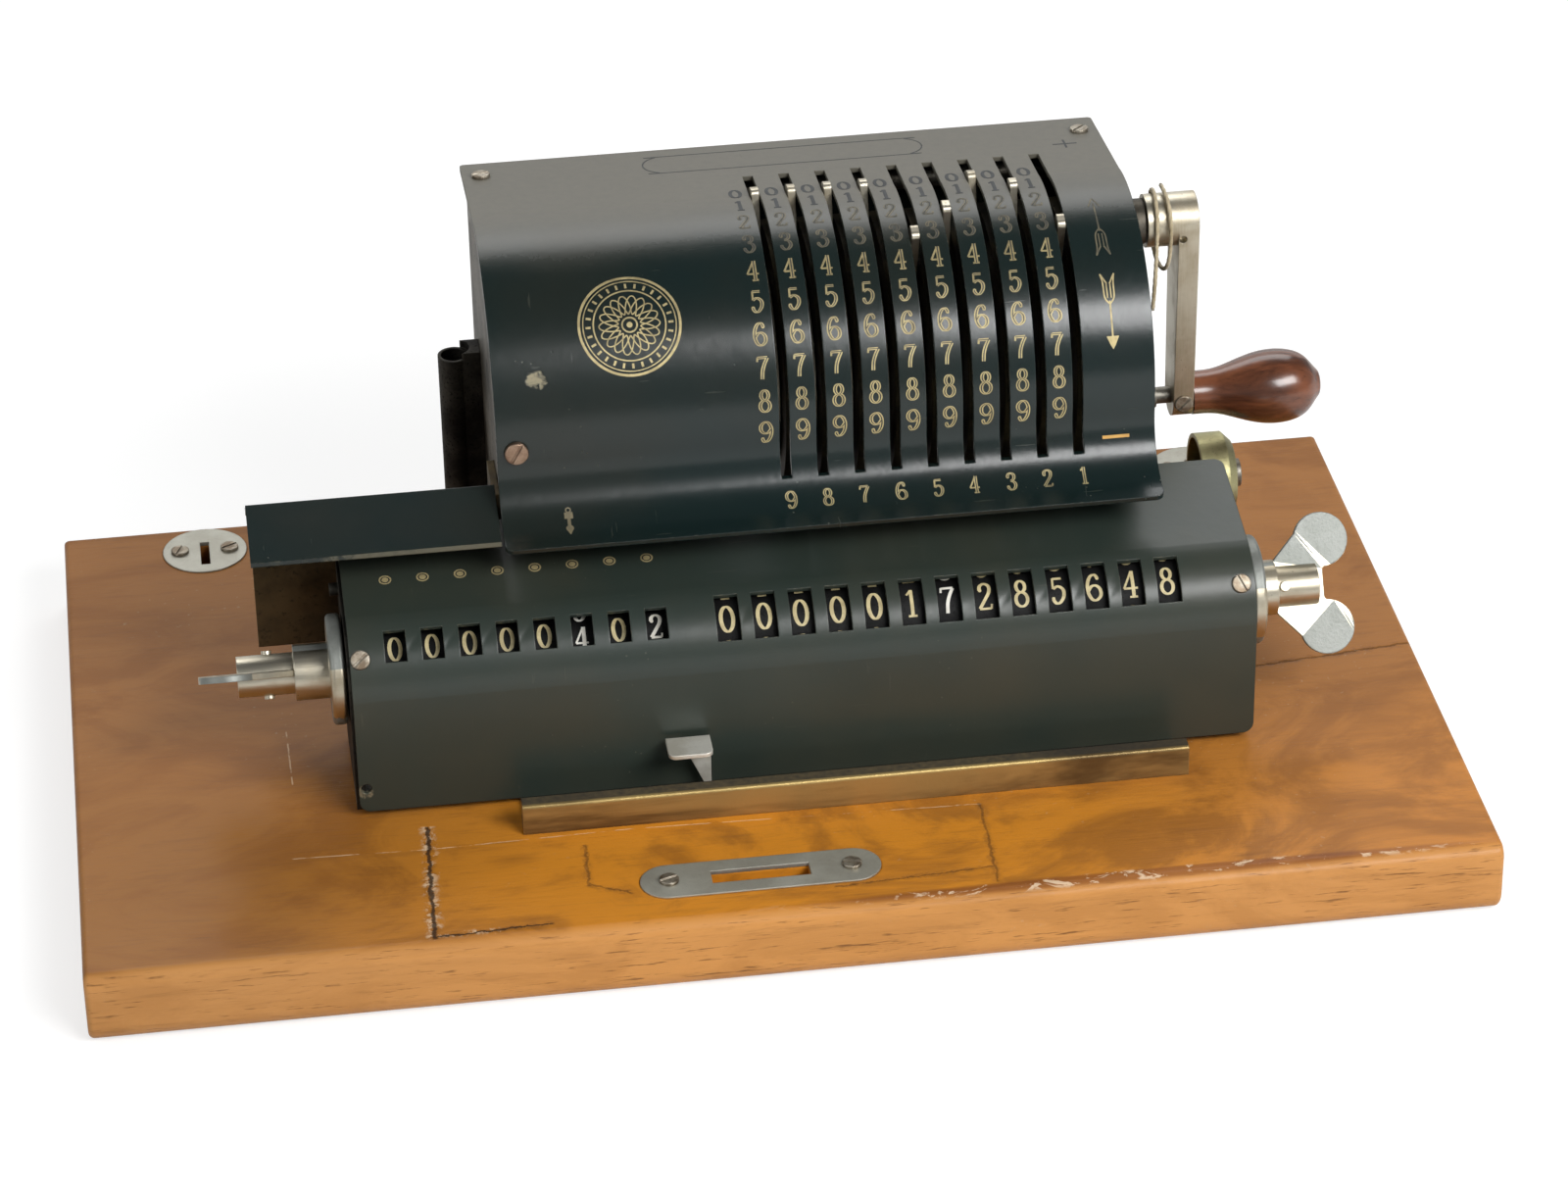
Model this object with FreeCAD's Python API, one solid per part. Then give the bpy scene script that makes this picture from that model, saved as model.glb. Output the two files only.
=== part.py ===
import FreeCAD, Part
import math
import os
from FreeCAD import Vector

# All lengths in millimetres, X along the machine, Y towards the back, Z up.
# The origin is the middle of the board's underside.

# Board
board_length = 376.0
board_depth = 224.0
board_thickness = 21.3
nosing_top_radius = 4.0
nosing_bottom_radius = 6.0
board_edge_round = 1.6

# Lock plates let into the board
keeper_thickness = 1.2
keeper_recess = 0.8
front_keeper_x = -9.0
front_keeper_y = -92.0
front_keeper_length = 64.3
front_keeper_width = 15.0
front_slot_length = 26.3
front_slot_width = 5.6
front_slot_depth = 10.0
front_screw_span = 48.8
rear_keeper_x = 147.2
rear_keeper_y = 99.4
rear_keeper_radius = 12.2
rear_slot_width = 2.6
rear_slot_length = 12.6
rear_slot_shift = 1.7
rear_slot_depth = 8.0
rear_screw_span = 14.4
screw_radius = 2.6
screw_height = 1.0
screw_slot_width = 0.7
screw_slot_depth = 0.5
shank_radius = 1.2
shank_length = 5.0

# Decades
pitch = 10.0
slot_count = 9
result_count = 13
counter_count = 8
first_slot_x = 9.7
result_lead = 2
counter_offset = 89.1

# Drum and its casing
drum_y = 30.4
drum_z = 110.0
casing_centre_x = 21.5
casing_width = 178.8
casing_radius = 45.2
casing_sheet = 1.4
crease_deg = 12.0
top_back_y = 80.8
top_back_z = 149.8
flare_radius = 16.0
flare_start_deg = 93.0
flare_sweep_deg = 82.0
lip_length = 3.5
slot_width = 2.9
slot_top_y = 55.0
slot_bottom_z = 97.7
skirt_corner = 2.4
back_corner = 1.2
top_screw_inset = 5.2
top_screw_y = 70.6
front_screw_z = 111.0
front_screw_radius = 3.2

# Side plates, bed and cross rods
plate_thickness = 3.0
plate_inset = 1.6
plate_front_y = 15.5
plate_shoulder_z = 88.0
plate_chin_y = -9.0
plate_chin_z = 93.0
rear_sheet = 1.4
rear_bottom_z = 58.0
bed_thickness = 1.6
bed_overhang = 1.3
rail_y = -63.7
rail_thickness = 4.5
rail_height = 9.0
rail_round = 0.9
guide_y = 9.0
guide_z = 33.0
guide_radius = 3.5
tie_radius = 3.0
upper_tie_y = 73.2
upper_tie_z = 139.0
lower_tie_y = 66.0
lower_tie_z = 42.0

# Drum parts
drum_shaft_radius = 5.0
disc_radius = 37.0
disc_thickness = 5.0
disc_side = 1.5
boss_radius = 16.0
pins_per_disc = 9
pin_radius = 1.3
pin_length = 13.0
pin_throw = 4.4
pin_seat = 23.1
pin_start_deg = -62.0
digit_step_deg = 11.5
zero_deg = -13.0
set_digits = (0, 0, 0, 0, 3, 2, 0, 1, 3)
lever_thickness = 2.1
lever_ring_radius = 29.0
lever_tip_radius = 47.2
lever_length = 4.6
finger_disc_radius = 34.0
finger_x = -49.4
finger_thickness = 4.0

# Crank and its gear pair
crank_y = 44.0
crank_z = 134.8
crank_throw = 56.0
gear_teeth = 28
gear_width = 5.0
gear_gap = 1.2
tooth_height = 1.5
tooth_ease = 0.12
crank_shaft_radius = 4.0
bush_radius = 6.4
bush_end_x = 118.7
bush_gap = 0.3
hub_radius = 7.5
hub_length = 8.7
arm_thickness = 5.8
arm_tip_radius = 6.0
oil_hole_radius = 1.1
oil_hole_depth = 5.0
lock_pin_radius = 2.4
lock_pin_gap = 0.3
lock_collar_radius = 3.4
lock_collar_length = 1.6
pull_travel = 4.0
stem_radius = 2.2
grip_gap = 0.3
grip_length = 37.4
grip_neck_radius = 6.2
grip_bulb_radius = 10.6

# Bell behind the right end
bell_y = 44.0
bell_z = 51.3
bell_radius = 12.3
bell_wall = 1.3
bell_depth = 10.3
bell_mouth_x = 136.0
bell_post_radius = 2.5
bell_nut_radius = 4.0
bell_nut_length = 2.4

# Open tube behind the left end
tube_x = -73.6
tube_y = 60.0
tube_radius = 4.5
tube_wall = 0.9
tube_top_z = 101.5
tube_bottom_z = 44.0
tube_bracket_depth = 8.0
tube_bracket_rise = 2.2

# Left extension over the counting end of the carriage
extension_length = 67.0
extension_gap = 0.7
extension_front_y = -26.9
extension_ridge_y = -7.9
extension_back_y = 6.3
extension_front_z = 90.9
extension_rise_deg = 20.0
extension_fall_deg = 36.0
extension_sheet = 1.4
extension_plate = 2.0
extension_plate_inset = 0.8
extension_bottom_z = 45.5
extension_tab_depth = 19.0

# Carriage
carriage_left_x = -112.6
carriage_right_x = 133.3
cover_inset = 0.8
cover_end_inset = 0.5
cover_sheet = 1.4
shaft_y = -30.5
shaft_z = 58.0
fold_radius = 18.4
cover_slope_deg = 11.0
cover_back_y = -0.5
relief_back_y = -8.3
relief_margin = 2.0
carriage_bottom_z = 23.5
cover_corner = 3.0
end_thickness = 2.6
end_back_y = -7.0
gear_end_back_y = 3.4
end_relief_z = 79.0
middle_plate_x = -18.6
bar_thickness = 3.0
bar_depth = 9.0
bar_gap = 0.4
shoe_x = (-36.0, 50.0)
shoe_length = 10.0
shoe_radius = 6.0
shoe_clearance = 0.05
carriage_screw_deg = 52.6
left_screw_inset = 2.8
right_screw_inset = 3.9
lug_radius = 3.0
lug_length = 6.0
low_hole_z = 30.8
low_hole_radius = 1.5
stop_pin_y = -14.0
stop_pin_z = 73.0
stop_pin_radius = 1.8
stop_pin_length = 2.4
travel_left = 20.0
travel_right = 50.0

# Windows and numeral wheels
window_centre_deg = 42.8
result_window_width = 6.4
result_window_deg = 41.0
counter_window_width = 5.8
counter_window_deg = 27.5
wheel_shaft_radius = 3.0
running_clearance = 0.05
result_wheel_radius = 15.6
counter_wheel_radius = 13.6
wheel_width = 7.2
wheel_gear_width = 1.8
wheel_gear_drop = 2.3
wheel_gear_teeth = 10
wheel_tooth_height = 3.0

# Transfer gears between drum and numeral wheels
transfer_y = -2.0
transfer_z = 64.4
transfer_radius = 14.2
transfer_teeth = 12
transfer_tooth = 3.2
transfer_width = 1.8
transfer_shaft_radius = 2.5
transfer_offset = 4.9

# Wing nuts that clear the registers
wing_disc_radius = 15.0
wing_disc_thickness = 4.0
wing_disc_gap = 0.4
wing_hub_radius = 7.6
wing_barrel_radius = 5.6
right_hub_length = 4.7
right_barrel_length = 11.8
right_overhang = 9.7
right_pin_place = 2.0
right_wing_deg = 31.3
left_hub_length = 9.4
left_barrel_length = 15.2
left_overhang = 10.4
left_pin_place = 7.0
left_wing_deg = -58.7
wing_plate = 1.7
wing_plate_rise = 0.6
wing_lobe_radius = 7.5
wing_lobe_offset = 12.0
wing_pin_radius = 1.4
wing_pin_height = 0.9
wing_slot_gap = 0.05

# Release lever on the carriage front
release_x = -17.9
release_thickness = 1.8
release_tab_left = 11.1
release_tab_right = 0.9
release_tab_depth = 11.0
release_tab_gap = 1.9
release_tab_z = 38.4
release_tab_thickness = 1.2
release_gusset_left = 6.6
release_gusset_gap = 2.5
release_gusset_thickness = 1.6
release_tip_z = 25.5
release_stem_low_z = 28.0
release_stem_rise = 1.5
release_pivot_y = -38.0
release_pivot_z = 32.0
release_pivot_radius = 2.0
release_boss_radius = 4.0
release_slot_gap = 0.6

# String tied round the crank hub
string_radius = 0.65
string_gap = 0.3
string_x = 120.4

# Places that follow from the sizes above
casing_left_x = casing_centre_x - casing_width / 2
casing_right_x = casing_centre_x + casing_width / 2
left_plate_x = casing_left_x + plate_inset
right_plate_x = casing_right_x - plate_inset - plate_thickness
bed_top_z = board_thickness + bed_thickness
inner_radius = casing_radius - casing_sheet
result_first_x = first_slot_x - result_lead * pitch
counter_first_x = result_first_x - counter_offset
gear_centre = math.hypot(crank_y - drum_y, crank_z - drum_z)
gear_x = right_plate_x - gear_gap - gear_width
arm_left_x = bush_end_x + bush_gap + hub_length
arm_right_x = arm_left_x + arm_thickness
handle_z = crank_z - crank_throw
cover_left_x = carriage_left_x + cover_inset
cover_right_x = carriage_right_x
slope = math.radians(cover_slope_deg)
extension_right_x = casing_left_x - extension_gap
extension_left_x = extension_right_x - extension_length


# Small helpers for solids set out along X
def box(x0, x1, y0, y1, z0, z1):
    return Part.makeBox(x1 - x0, y1 - y0, z1 - z0, Vector(x0, y0, z0))


def rod(x0, x1, y, z, radius):
    return Part.makeCylinder(radius, x1 - x0, Vector(x0, y, z), Vector(1, 0, 0))


def tube(x0, x1, y, z, outer, inner):
    return rod(x0, x1, y, z, outer).cut(rod(x0 - 1, x1 + 1, y, z, inner))


def line(a, b):
    return Part.LineSegment(Vector(0, *a), Vector(0, *b)).toShape()


def arc(a, b, c):
    return Part.Arc(Vector(0, *a), Vector(0, *b), Vector(0, *c)).toShape()


def sweep_x(edges, x0, x1):
    face = Part.Face(Part.Wire(edges))
    face.translate(Vector(x0, 0, 0))
    return face.extrude(Vector(x1 - x0, 0, 0))


def outline(points):
    loop = list(points) + [points[0]]
    return [line(loop[i], loop[i + 1]) for i in range(len(points))]


def around(y, z, radius, degrees):
    # a place at this radius, the angle counted from straight up towards the front
    turn = math.radians(degrees)
    return (y - radius * math.sin(turn), z + radius * math.cos(turn))


def turned(shape, y, z, degrees):
    shape.rotate(Vector(0, y, z), Vector(1, 0, 0), degrees)
    return shape


def gear(x0, x1, y, z, root, tip, teeth, fill, phase):
    solid = rod(x0, x1, y, z, root)
    step = 360.0 / teeth
    for i in range(teeth):
        mid = phase + i * step
        foot = fill * step / 2
        head = foot * 0.5
        points = [around(y, z, root - 0.4, mid - foot)]
        points.append(around(y, z, tip, mid - head))
        points.append(around(y, z, tip, mid + head))
        points.append(around(y, z, root - 0.4, mid + foot))
        solid = solid.fuse(sweep_x(outline(points), x0, x1))
    return solid.removeSplitter()


def slotted_screw(centre, normal, radius, height, slot_turn):
    # a flat head on a short shank, made upright and then set on its place
    head = Part.makeCylinder(radius, height)
    rim = [e for e in head.Edges if e.BoundBox.ZMin > height - 0.01]
    head = head.makeChamfer(0.2, rim)
    cut = Part.makeBox(2 * radius + 2, screw_slot_width, screw_slot_depth + 1)
    cut.translate(Vector(-radius - 1, -screw_slot_width / 2, height - screw_slot_depth))
    head = head.cut(cut)
    head.rotate(Vector(0, 0, 0), Vector(0, 0, 1), slot_turn)
    solid = head.fuse(Part.makeCylinder(shank_radius, shank_length, Vector(0, 0, -shank_length)))
    turn = FreeCAD.Rotation(Vector(0, 0, 1), normal)
    solid.Placement = FreeCAD.Placement(centre, turn).multiply(solid.Placement)
    return solid


def shank_hole(centre, normal):
    start = centre - normal * (shank_length + 0.02)
    return Part.makeCylinder(shank_radius, shank_length + 1.0, start, normal)


def save(name, shapes):
    solids = []
    for shape in shapes:
        solids.extend(shape.Solids)
    for solid in solids:
        if not solid.isValid():
            print("not valid", name)
    Part.makeCompound(solids).exportStep("parts/" + name + ".step")
    print(name, len(solids), "solid(s)")


os.makedirs("parts", exist_ok=True)
up = Vector(0, 0, 1)

# Screws that hold the plates on the board and the casing on its frame
keeper_top_z = board_thickness + keeper_thickness - keeper_recess
board_screws = []
for side in (-1, 1):
    screw_x = front_keeper_x + side * front_screw_span / 2
    board_screws.append((Vector(screw_x, front_keeper_y, keeper_top_z), up))
    for corner in (-1, 1):
        x = corner * rear_keeper_x + side * rear_screw_span / 2
        board_screws.append((Vector(x, rear_keeper_y, keeper_top_z), up))
crease = around(drum_y, drum_z, casing_radius, -crease_deg)
top_run = top_back_y - crease[0]
top_drop = crease[1] - top_back_z
top_normal = Vector(0, top_drop, top_run).normalize()
casing_screws = []
for x in (casing_left_x + top_screw_inset, casing_right_x - top_screw_inset):
    z = crease[1] - top_drop * (top_screw_y - crease[0]) / top_run
    casing_screws.append((Vector(x, top_screw_y, z), top_normal))
side_screw_y = drum_y - math.sqrt(casing_radius ** 2 - (front_screw_z - drum_z) ** 2)
side_screw = (Vector(casing_left_x + top_screw_inset, side_screw_y + 0.3, front_screw_z), Vector(0, -1, 0))

screws = []
for i, (place, normal) in enumerate(board_screws):
    screws.append(slotted_screw(place, normal, screw_radius, screw_height, 20 + 47 * i))
for i, (place, normal) in enumerate(casing_screws):
    screws.append(slotted_screw(place, normal, screw_radius, screw_height, 15 + 30 * i))
screws.append(slotted_screw(side_screw[0], side_screw[1], front_screw_radius, 1.5, 60))
save("plate_screws", screws)

# Board with a rounded front edge, sockets for the lock bolts and screw holes
front_y = -board_depth / 2
back_y = board_depth / 2
diagonal = math.sin(math.radians(45))
top_start = (front_y + nosing_top_radius, board_thickness)
top_sag = nosing_top_radius * (1 - diagonal)
top_middle = (front_y + top_sag, board_thickness - top_sag)
top_end = (front_y, board_thickness - nosing_top_radius)
low_start = (front_y, nosing_bottom_radius)
low_middle = (front_y + nosing_bottom_radius * (1 - diagonal), nosing_bottom_radius * (1 - diagonal))
low_end = (front_y + nosing_bottom_radius, 0)
nose = [line(low_end, (back_y, 0)), line((back_y, 0), (back_y, board_thickness))]
nose += [line((back_y, board_thickness), top_start), arc(top_start, top_middle, top_end)]
nose += [line(top_end, low_start), arc(low_start, low_middle, low_end)]
board = sweep_x(nose, -board_length / 2, board_length / 2)
ends = [e for e in board.Edges if abs(abs(e.CenterOfMass.x) - board_length / 2) < 0.01]
ends = [e for e in ends if e.CenterOfMass.z > board_thickness - 0.01 and e.Length > 100]
board = board.makeFillet(board_edge_round, ends)


def keeper_slot(x, y, length, width, depth):
    z = board_thickness - depth
    return box(x - length / 2, x + length / 2, y - width / 2, y + width / 2, z, z + depth + 5)


front_slot = keeper_slot(front_keeper_x, front_keeper_y, front_slot_length, front_slot_width,
                         front_slot_depth)
rear_slot_y = rear_keeper_y - rear_slot_shift
rear_slots = [keeper_slot(s * rear_keeper_x, rear_slot_y, rear_slot_width, rear_slot_length, rear_slot_depth)
              for s in (-1, 1)]


def front_keeper_shape(height, z):
    half = front_keeper_length / 2 - front_keeper_width / 2
    radius = front_keeper_width / 2
    plate = box(front_keeper_x - half, front_keeper_x + half, front_keeper_y - radius,
                front_keeper_y + radius, z, z + height)
    for s in (-1, 1):
        centre = Vector(front_keeper_x + s * half, front_keeper_y, z)
        plate = plate.fuse(Part.makeCylinder(radius, height, centre))
    return plate.removeSplitter()


recess_z = board_thickness - keeper_recess
board = board.cut(front_keeper_shape(5, recess_z))
keepers = [front_keeper_shape(keeper_thickness, recess_z).cut(front_slot)]
for s, slot in zip((-1, 1), rear_slots):
    place = Vector(s * rear_keeper_x, rear_keeper_y, recess_z)
    board = board.cut(Part.makeCylinder(rear_keeper_radius, 5, place)).cut(slot)
    keepers.append(Part.makeCylinder(rear_keeper_radius, keeper_thickness, place).cut(slot))
board = board.cut(front_slot)
for place, normal in board_screws:
    hole = shank_hole(place, normal)
    board = board.cut(hole)
    keepers = [plate.cut(hole) for plate in keepers]
save("board", [board])
save("keeper_plates", keepers)

# Thin bed under the whole works
bed_front_y = rail_y + rail_thickness
bed = box(casing_left_x, casing_right_x, bed_front_y, top_back_y, board_thickness, bed_top_z)
save("bed_plate", [bed])

# Rail along the front of the bed, its upper front edge rounded
rail_left_x = casing_left_x - bed_overhang
rail_right_x = casing_right_x + bed_overhang
rail_top_z = board_thickness + rail_height
rail = box(rail_left_x, rail_right_x, rail_y, rail_y + rail_thickness, board_thickness, rail_top_z)
rail_edge = [e for e in rail.Edges if e.BoundBox.ZMin > rail_top_z - 0.01 and e.BoundBox.YMax < rail_y + 0.01]
save("front_rail", [rail.makeFillet(rail_round, rail_edge)])

# Casing: flat top, quarter drum and a flared skirt, bent from one sheet
flare_y, flare_z = around(drum_y, drum_z, casing_radius + flare_radius, flare_start_deg)


def flare(radius, swept):
    # swept counts from the join with the drum, over and down to the front
    turn = math.radians(flare_start_deg - 90 - swept)
    return (flare_y + radius * math.cos(turn), flare_z + radius * math.sin(turn))


lip_turn = math.radians(flare_start_deg - flare_sweep_deg)
lip_out = flare(flare_radius, flare_sweep_deg)
lip_out_end = (lip_out[0] - lip_length * math.cos(lip_turn), lip_out[1] - lip_length * math.sin(lip_turn))
lip_in = flare(flare_radius + casing_sheet, flare_sweep_deg)
lip_in_end = (lip_in[0] - lip_length * math.cos(lip_turn), lip_in[1] - lip_length * math.sin(lip_turn))
back_in = (top_back_y - casing_sheet * top_normal.y, top_back_z - casing_sheet * top_normal.z)
crease_in = around(drum_y, drum_z, inner_radius, -crease_deg)
mid_deg = (flare_start_deg - crease_deg) / 2
shell = [line((top_back_y, top_back_z), crease)]
shell.append(arc(crease, around(drum_y, drum_z, casing_radius, mid_deg),
                 around(drum_y, drum_z, casing_radius, flare_start_deg)))
shell.append(arc(flare(flare_radius, 0), flare(flare_radius, flare_sweep_deg / 2), lip_out))
shell.append(line(lip_out, lip_out_end))
shell.append(line(lip_out_end, lip_in_end))
shell.append(line(lip_in_end, lip_in))
inner_flare = flare_radius + casing_sheet
shell.append(arc(lip_in, flare(inner_flare, flare_sweep_deg / 2), flare(inner_flare, 0)))
shell.append(arc(flare(inner_flare, 0), around(drum_y, drum_z, inner_radius, mid_deg), crease_in))
shell.append(line(crease_in, back_in))
shell.append(line(back_in, (top_back_y, top_back_z)))
casing = sweep_x(shell, casing_left_x, casing_right_x)
for i in range(slot_count):
    x = first_slot_x + i * pitch
    casing = casing.cut(box(x - slot_width / 2, x + slot_width / 2, flare_y - 50, slot_top_y,
                            slot_bottom_z, top_back_z + 50))
for corner_radius, at_back in ((skirt_corner, False), (back_corner, True)):
    corners = []
    for e in casing.Edges:
        c = e.CenterOfMass
        at_end = abs(abs(c.x - casing_centre_x) - casing_width / 2) < 0.01
        if at_end and e.Length < casing_sheet * 1.05 and (c.y > drum_y) == at_back:
            corners.append(e)
    casing = casing.makeFillet(corner_radius, corners)
for place, normal in casing_screws + [side_screw]:
    casing = casing.cut(shank_hole(place, normal))
casing = casing.cut(Part.makeCylinder(front_screw_radius, 5, side_screw[0], side_screw[1]))
save("casing", [casing])

# Side plates that carry the drum, cut to the casing's inside
def plate_edges():
    back = top_back_y - rear_sheet
    start = (back, back_in[1] + (top_back_y - casing_sheet * top_normal.y - back) * top_drop / top_run)
    chin = (plate_chin_y, plate_chin_z)
    low = around(drum_y, drum_z, inner_radius, flare_start_deg)
    points = [line(start, crease_in)]
    points.append(arc(crease_in, around(drum_y, drum_z, inner_radius, mid_deg), low))
    points.append(line(low, chin))
    points.append(line(chin, (plate_front_y, plate_shoulder_z)))
    points.append(line((plate_front_y, plate_shoulder_z), (plate_front_y, bed_top_z)))
    points.append(line((plate_front_y, bed_top_z), (back, bed_top_z)))
    points.append(line((back, bed_top_z), start))
    return points


cross = [(guide_y, guide_z, guide_radius), (upper_tie_y, upper_tie_z, tie_radius),
         (lower_tie_y, lower_tie_z, tie_radius)]
plates = []
for x in (left_plate_x, right_plate_x):
    plate = sweep_x(plate_edges(), x, x + plate_thickness)
    foot = box(x, x + plate_thickness, guide_y - 2 * guide_radius, plate_front_y, bed_top_z,
               guide_z + 2 * guide_radius)
    plate = plate.fuse(foot).removeSplitter()
    plate = plate.cut(rod(x - 1, x + plate_thickness + 1, drum_y, drum_z,
                          drum_shaft_radius + running_clearance))
    for y, z, radius in cross:
        plate = plate.cut(rod(x - 1, x + plate_thickness + 1, y, z, radius))
    for place, normal in casing_screws + [side_screw]:
        plate = plate.cut(shank_hole(place, normal))
    plates.append(plate)
plates[1] = plates[1].cut(rod(right_plate_x - 1, casing_right_x, crank_y, crank_z, bush_radius))
pin_hole = rod(right_plate_x - 1, casing_right_x, crank_y, handle_z, lock_pin_radius + lock_pin_gap)
post_hole = rod(right_plate_x - 1, casing_right_x, bell_y, bell_z, bell_post_radius)
plates[1] = plates[1].cut(pin_hole).cut(post_hole)
save("side_plates", plates)

# Guide rod and tie rods between the side plates, and the post that carries the bell
rods = [rod(left_plate_x, right_plate_x + plate_thickness, y, z, radius) for y, z, radius in cross]
nut_x = bell_mouth_x + bell_depth
post = rod(right_plate_x, nut_x, bell_y, bell_z, bell_post_radius)
nut = rod(nut_x, nut_x + bell_nut_length, bell_y, bell_z, bell_nut_radius)
rods.append(post.fuse(nut).removeSplitter())
save("cross_rods", rods)

# Sheet that closes the back
rear_z = top_back_z - casing_sheet
rear = box(left_plate_x, right_plate_x + plate_thickness, top_back_y - rear_sheet, top_back_y,
           rear_bottom_z, rear_z)
save("rear_cover", [rear])

# Bush for the crank, through the right side plate
bush = tube(right_plate_x, bush_end_x, crank_y, crank_z, bush_radius, crank_shaft_radius + running_clearance)
save("crank_bush", [bush])

# Cup bell on its post, its mouth towards the left
def cup(x0, depth, radius, rim):
    # turned about its own axis, the closed end to the right
    points = [Vector(x0, bell_y, bell_z), Vector(x0, bell_y + radius, bell_z)]
    points.append(Vector(x0 + depth - rim, bell_y + radius, bell_z))
    points.append(Vector(x0 + depth, bell_y + radius - rim, bell_z))
    points.append(Vector(x0 + depth, bell_y, bell_z))
    face = Part.Face(Part.makePolygon(points + [points[0]]))
    return face.revolve(Vector(x0, bell_y, bell_z), Vector(1, 0, 0), 360)


bell = cup(bell_mouth_x, bell_depth, bell_radius, 2.5)
bell = bell.cut(cup(bell_mouth_x - 1, bell_depth + 1 - bell_wall, bell_radius - bell_wall, 2.5))
bell = bell.cut(rod(bell_mouth_x - 1, nut_x + 1, bell_y, bell_z, bell_post_radius))
save("bell", [bell])

# Open tube on its bracket, behind the left side plate
tube_height = tube_top_z - tube_bottom_z
base = Vector(tube_x, tube_y, tube_bottom_z)
pipe = Part.makeCylinder(tube_radius, tube_height, base)
pipe = pipe.cut(Part.makeCylinder(tube_radius - tube_wall, tube_height + 2, base - Vector(0, 0, 1)))
bracket = box(tube_x, left_plate_x, tube_y - tube_bracket_depth / 2, tube_y + tube_bracket_depth / 2,
              tube_bottom_z + 2, tube_top_z + tube_bracket_rise)
bracket = bracket.cut(Part.makeCylinder(tube_radius, tube_height + 20, base - Vector(0, 0, 5)))
save("rear_tube", [pipe, bracket])

# Extension: a sheet that rises to a ridge and falls to its seat on an upright plate
plate_y = extension_back_y - extension_plate
ridge_rise = (extension_ridge_y - extension_front_y) * math.tan(math.radians(extension_rise_deg))
ridge_z = extension_front_z + ridge_rise
seat_z = ridge_z - (plate_y - extension_ridge_y) * math.tan(math.radians(extension_fall_deg))
upper = [(extension_front_y, extension_front_z), (extension_ridge_y, ridge_z), (plate_y, seat_z),
         (extension_back_y, seat_z)]
lower = [(y, z - extension_sheet) for y, z in reversed(upper)]
save("extension_cover", [sweep_x(outline(upper + lower), extension_left_x, extension_right_x)])
upright_top = seat_z - extension_sheet
upright = box(extension_left_x + extension_plate_inset, left_plate_x, plate_y, extension_back_y,
              extension_bottom_z, upright_top)
tab = box(left_plate_x - extension_plate, left_plate_x, plate_y, plate_y + extension_tab_depth,
          extension_bottom_z, upright_top)
save("extension_back", [upright.fuse(tab).removeSplitter()])

# Drum shaft with its gear and the single-finger disc of the counter
shaft_left = left_plate_x
shaft_right = right_plate_x + plate_thickness
drum_shaft = rod(shaft_left, shaft_right, drum_y, drum_z, drum_shaft_radius)
pitch_radius = gear_centre / 2
gear_fill = 0.5
lean = math.degrees(math.atan2(-(crank_y - drum_y), crank_z - drum_z))
drum_gear = gear(gear_x, gear_x + gear_width, drum_y, drum_z, pitch_radius - tooth_height / 2 - tooth_ease,
                 pitch_radius + tooth_height / 2 - tooth_ease, gear_teeth, gear_fill, lean)
drum_shaft = drum_shaft.fuse(drum_gear)
finger = rod(finger_x - finger_thickness / 2, finger_x + finger_thickness / 2, drum_y, drum_z,
             finger_disc_radius)
drum_shaft = drum_shaft.fuse(finger).removeSplitter()
save("drum_shaft", [drum_shaft])

# Pinwheels: one disc per decade, as many pins out as the digit set
discs = []
pins = []
for i in range(slot_count):
    x = first_slot_x + i * pitch
    x0 = x + disc_side
    x1 = x0 + disc_thickness
    disc = rod(x0, x1, drum_y, drum_z, disc_radius)
    disc = disc.fuse(rod(x - lever_thickness / 2, x0, drum_y, drum_z, boss_radius))
    disc = disc.cut(rod(x - 5, x1 + 5, drum_y, drum_z, drum_shaft_radius))
    for k in range(pins_per_disc):
        throw = pin_throw if k < set_digits[i] else 0.0
        seat = Vector((x0 + x1) / 2, drum_y, drum_z + pin_seat + throw)
        pin = Part.makeCylinder(pin_radius, pin_length, seat)
        hole = Part.makeCylinder(pin_radius, disc_radius, Vector((x0 + x1) / 2, drum_y, drum_z + pin_seat))
        turned(pin, drum_y, drum_z, pin_start_deg - k * digit_step_deg)
        turned(hole, drum_y, drum_z, pin_start_deg - k * digit_step_deg)
        disc = disc.cut(hole)
        pins.append(pin)
    discs.append(disc)
save("pinwheels", discs + pins)

# Setting levers: a ring round each boss, with a tongue out through the slot
for i in range(slot_count):
    x = first_slot_x + i * pitch
    x0 = x - lever_thickness / 2
    x1 = x + lever_thickness / 2
    ring = tube(x0, x1, drum_y, drum_z, lever_ring_radius, boss_radius + running_clearance)
    inner = drum_z + lever_ring_radius - 2
    outer = drum_z + lever_tip_radius
    tongue = box(x0, x1, drum_y - lever_length / 2, drum_y + lever_length / 2, inner, outer)
    tips = [e for e in tongue.Edges if e.BoundBox.ZMin > outer - 0.01 and e.BoundBox.XLength > 1]
    tongue = tongue.makeFillet(lever_length * 0.32, tips)
    lever = turned(ring.fuse(tongue), drum_y, drum_z, zero_deg + set_digits[i] * digit_step_deg)
    save("setting_lever_" + str(i + 1), [lever.removeSplitter()])

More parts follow.
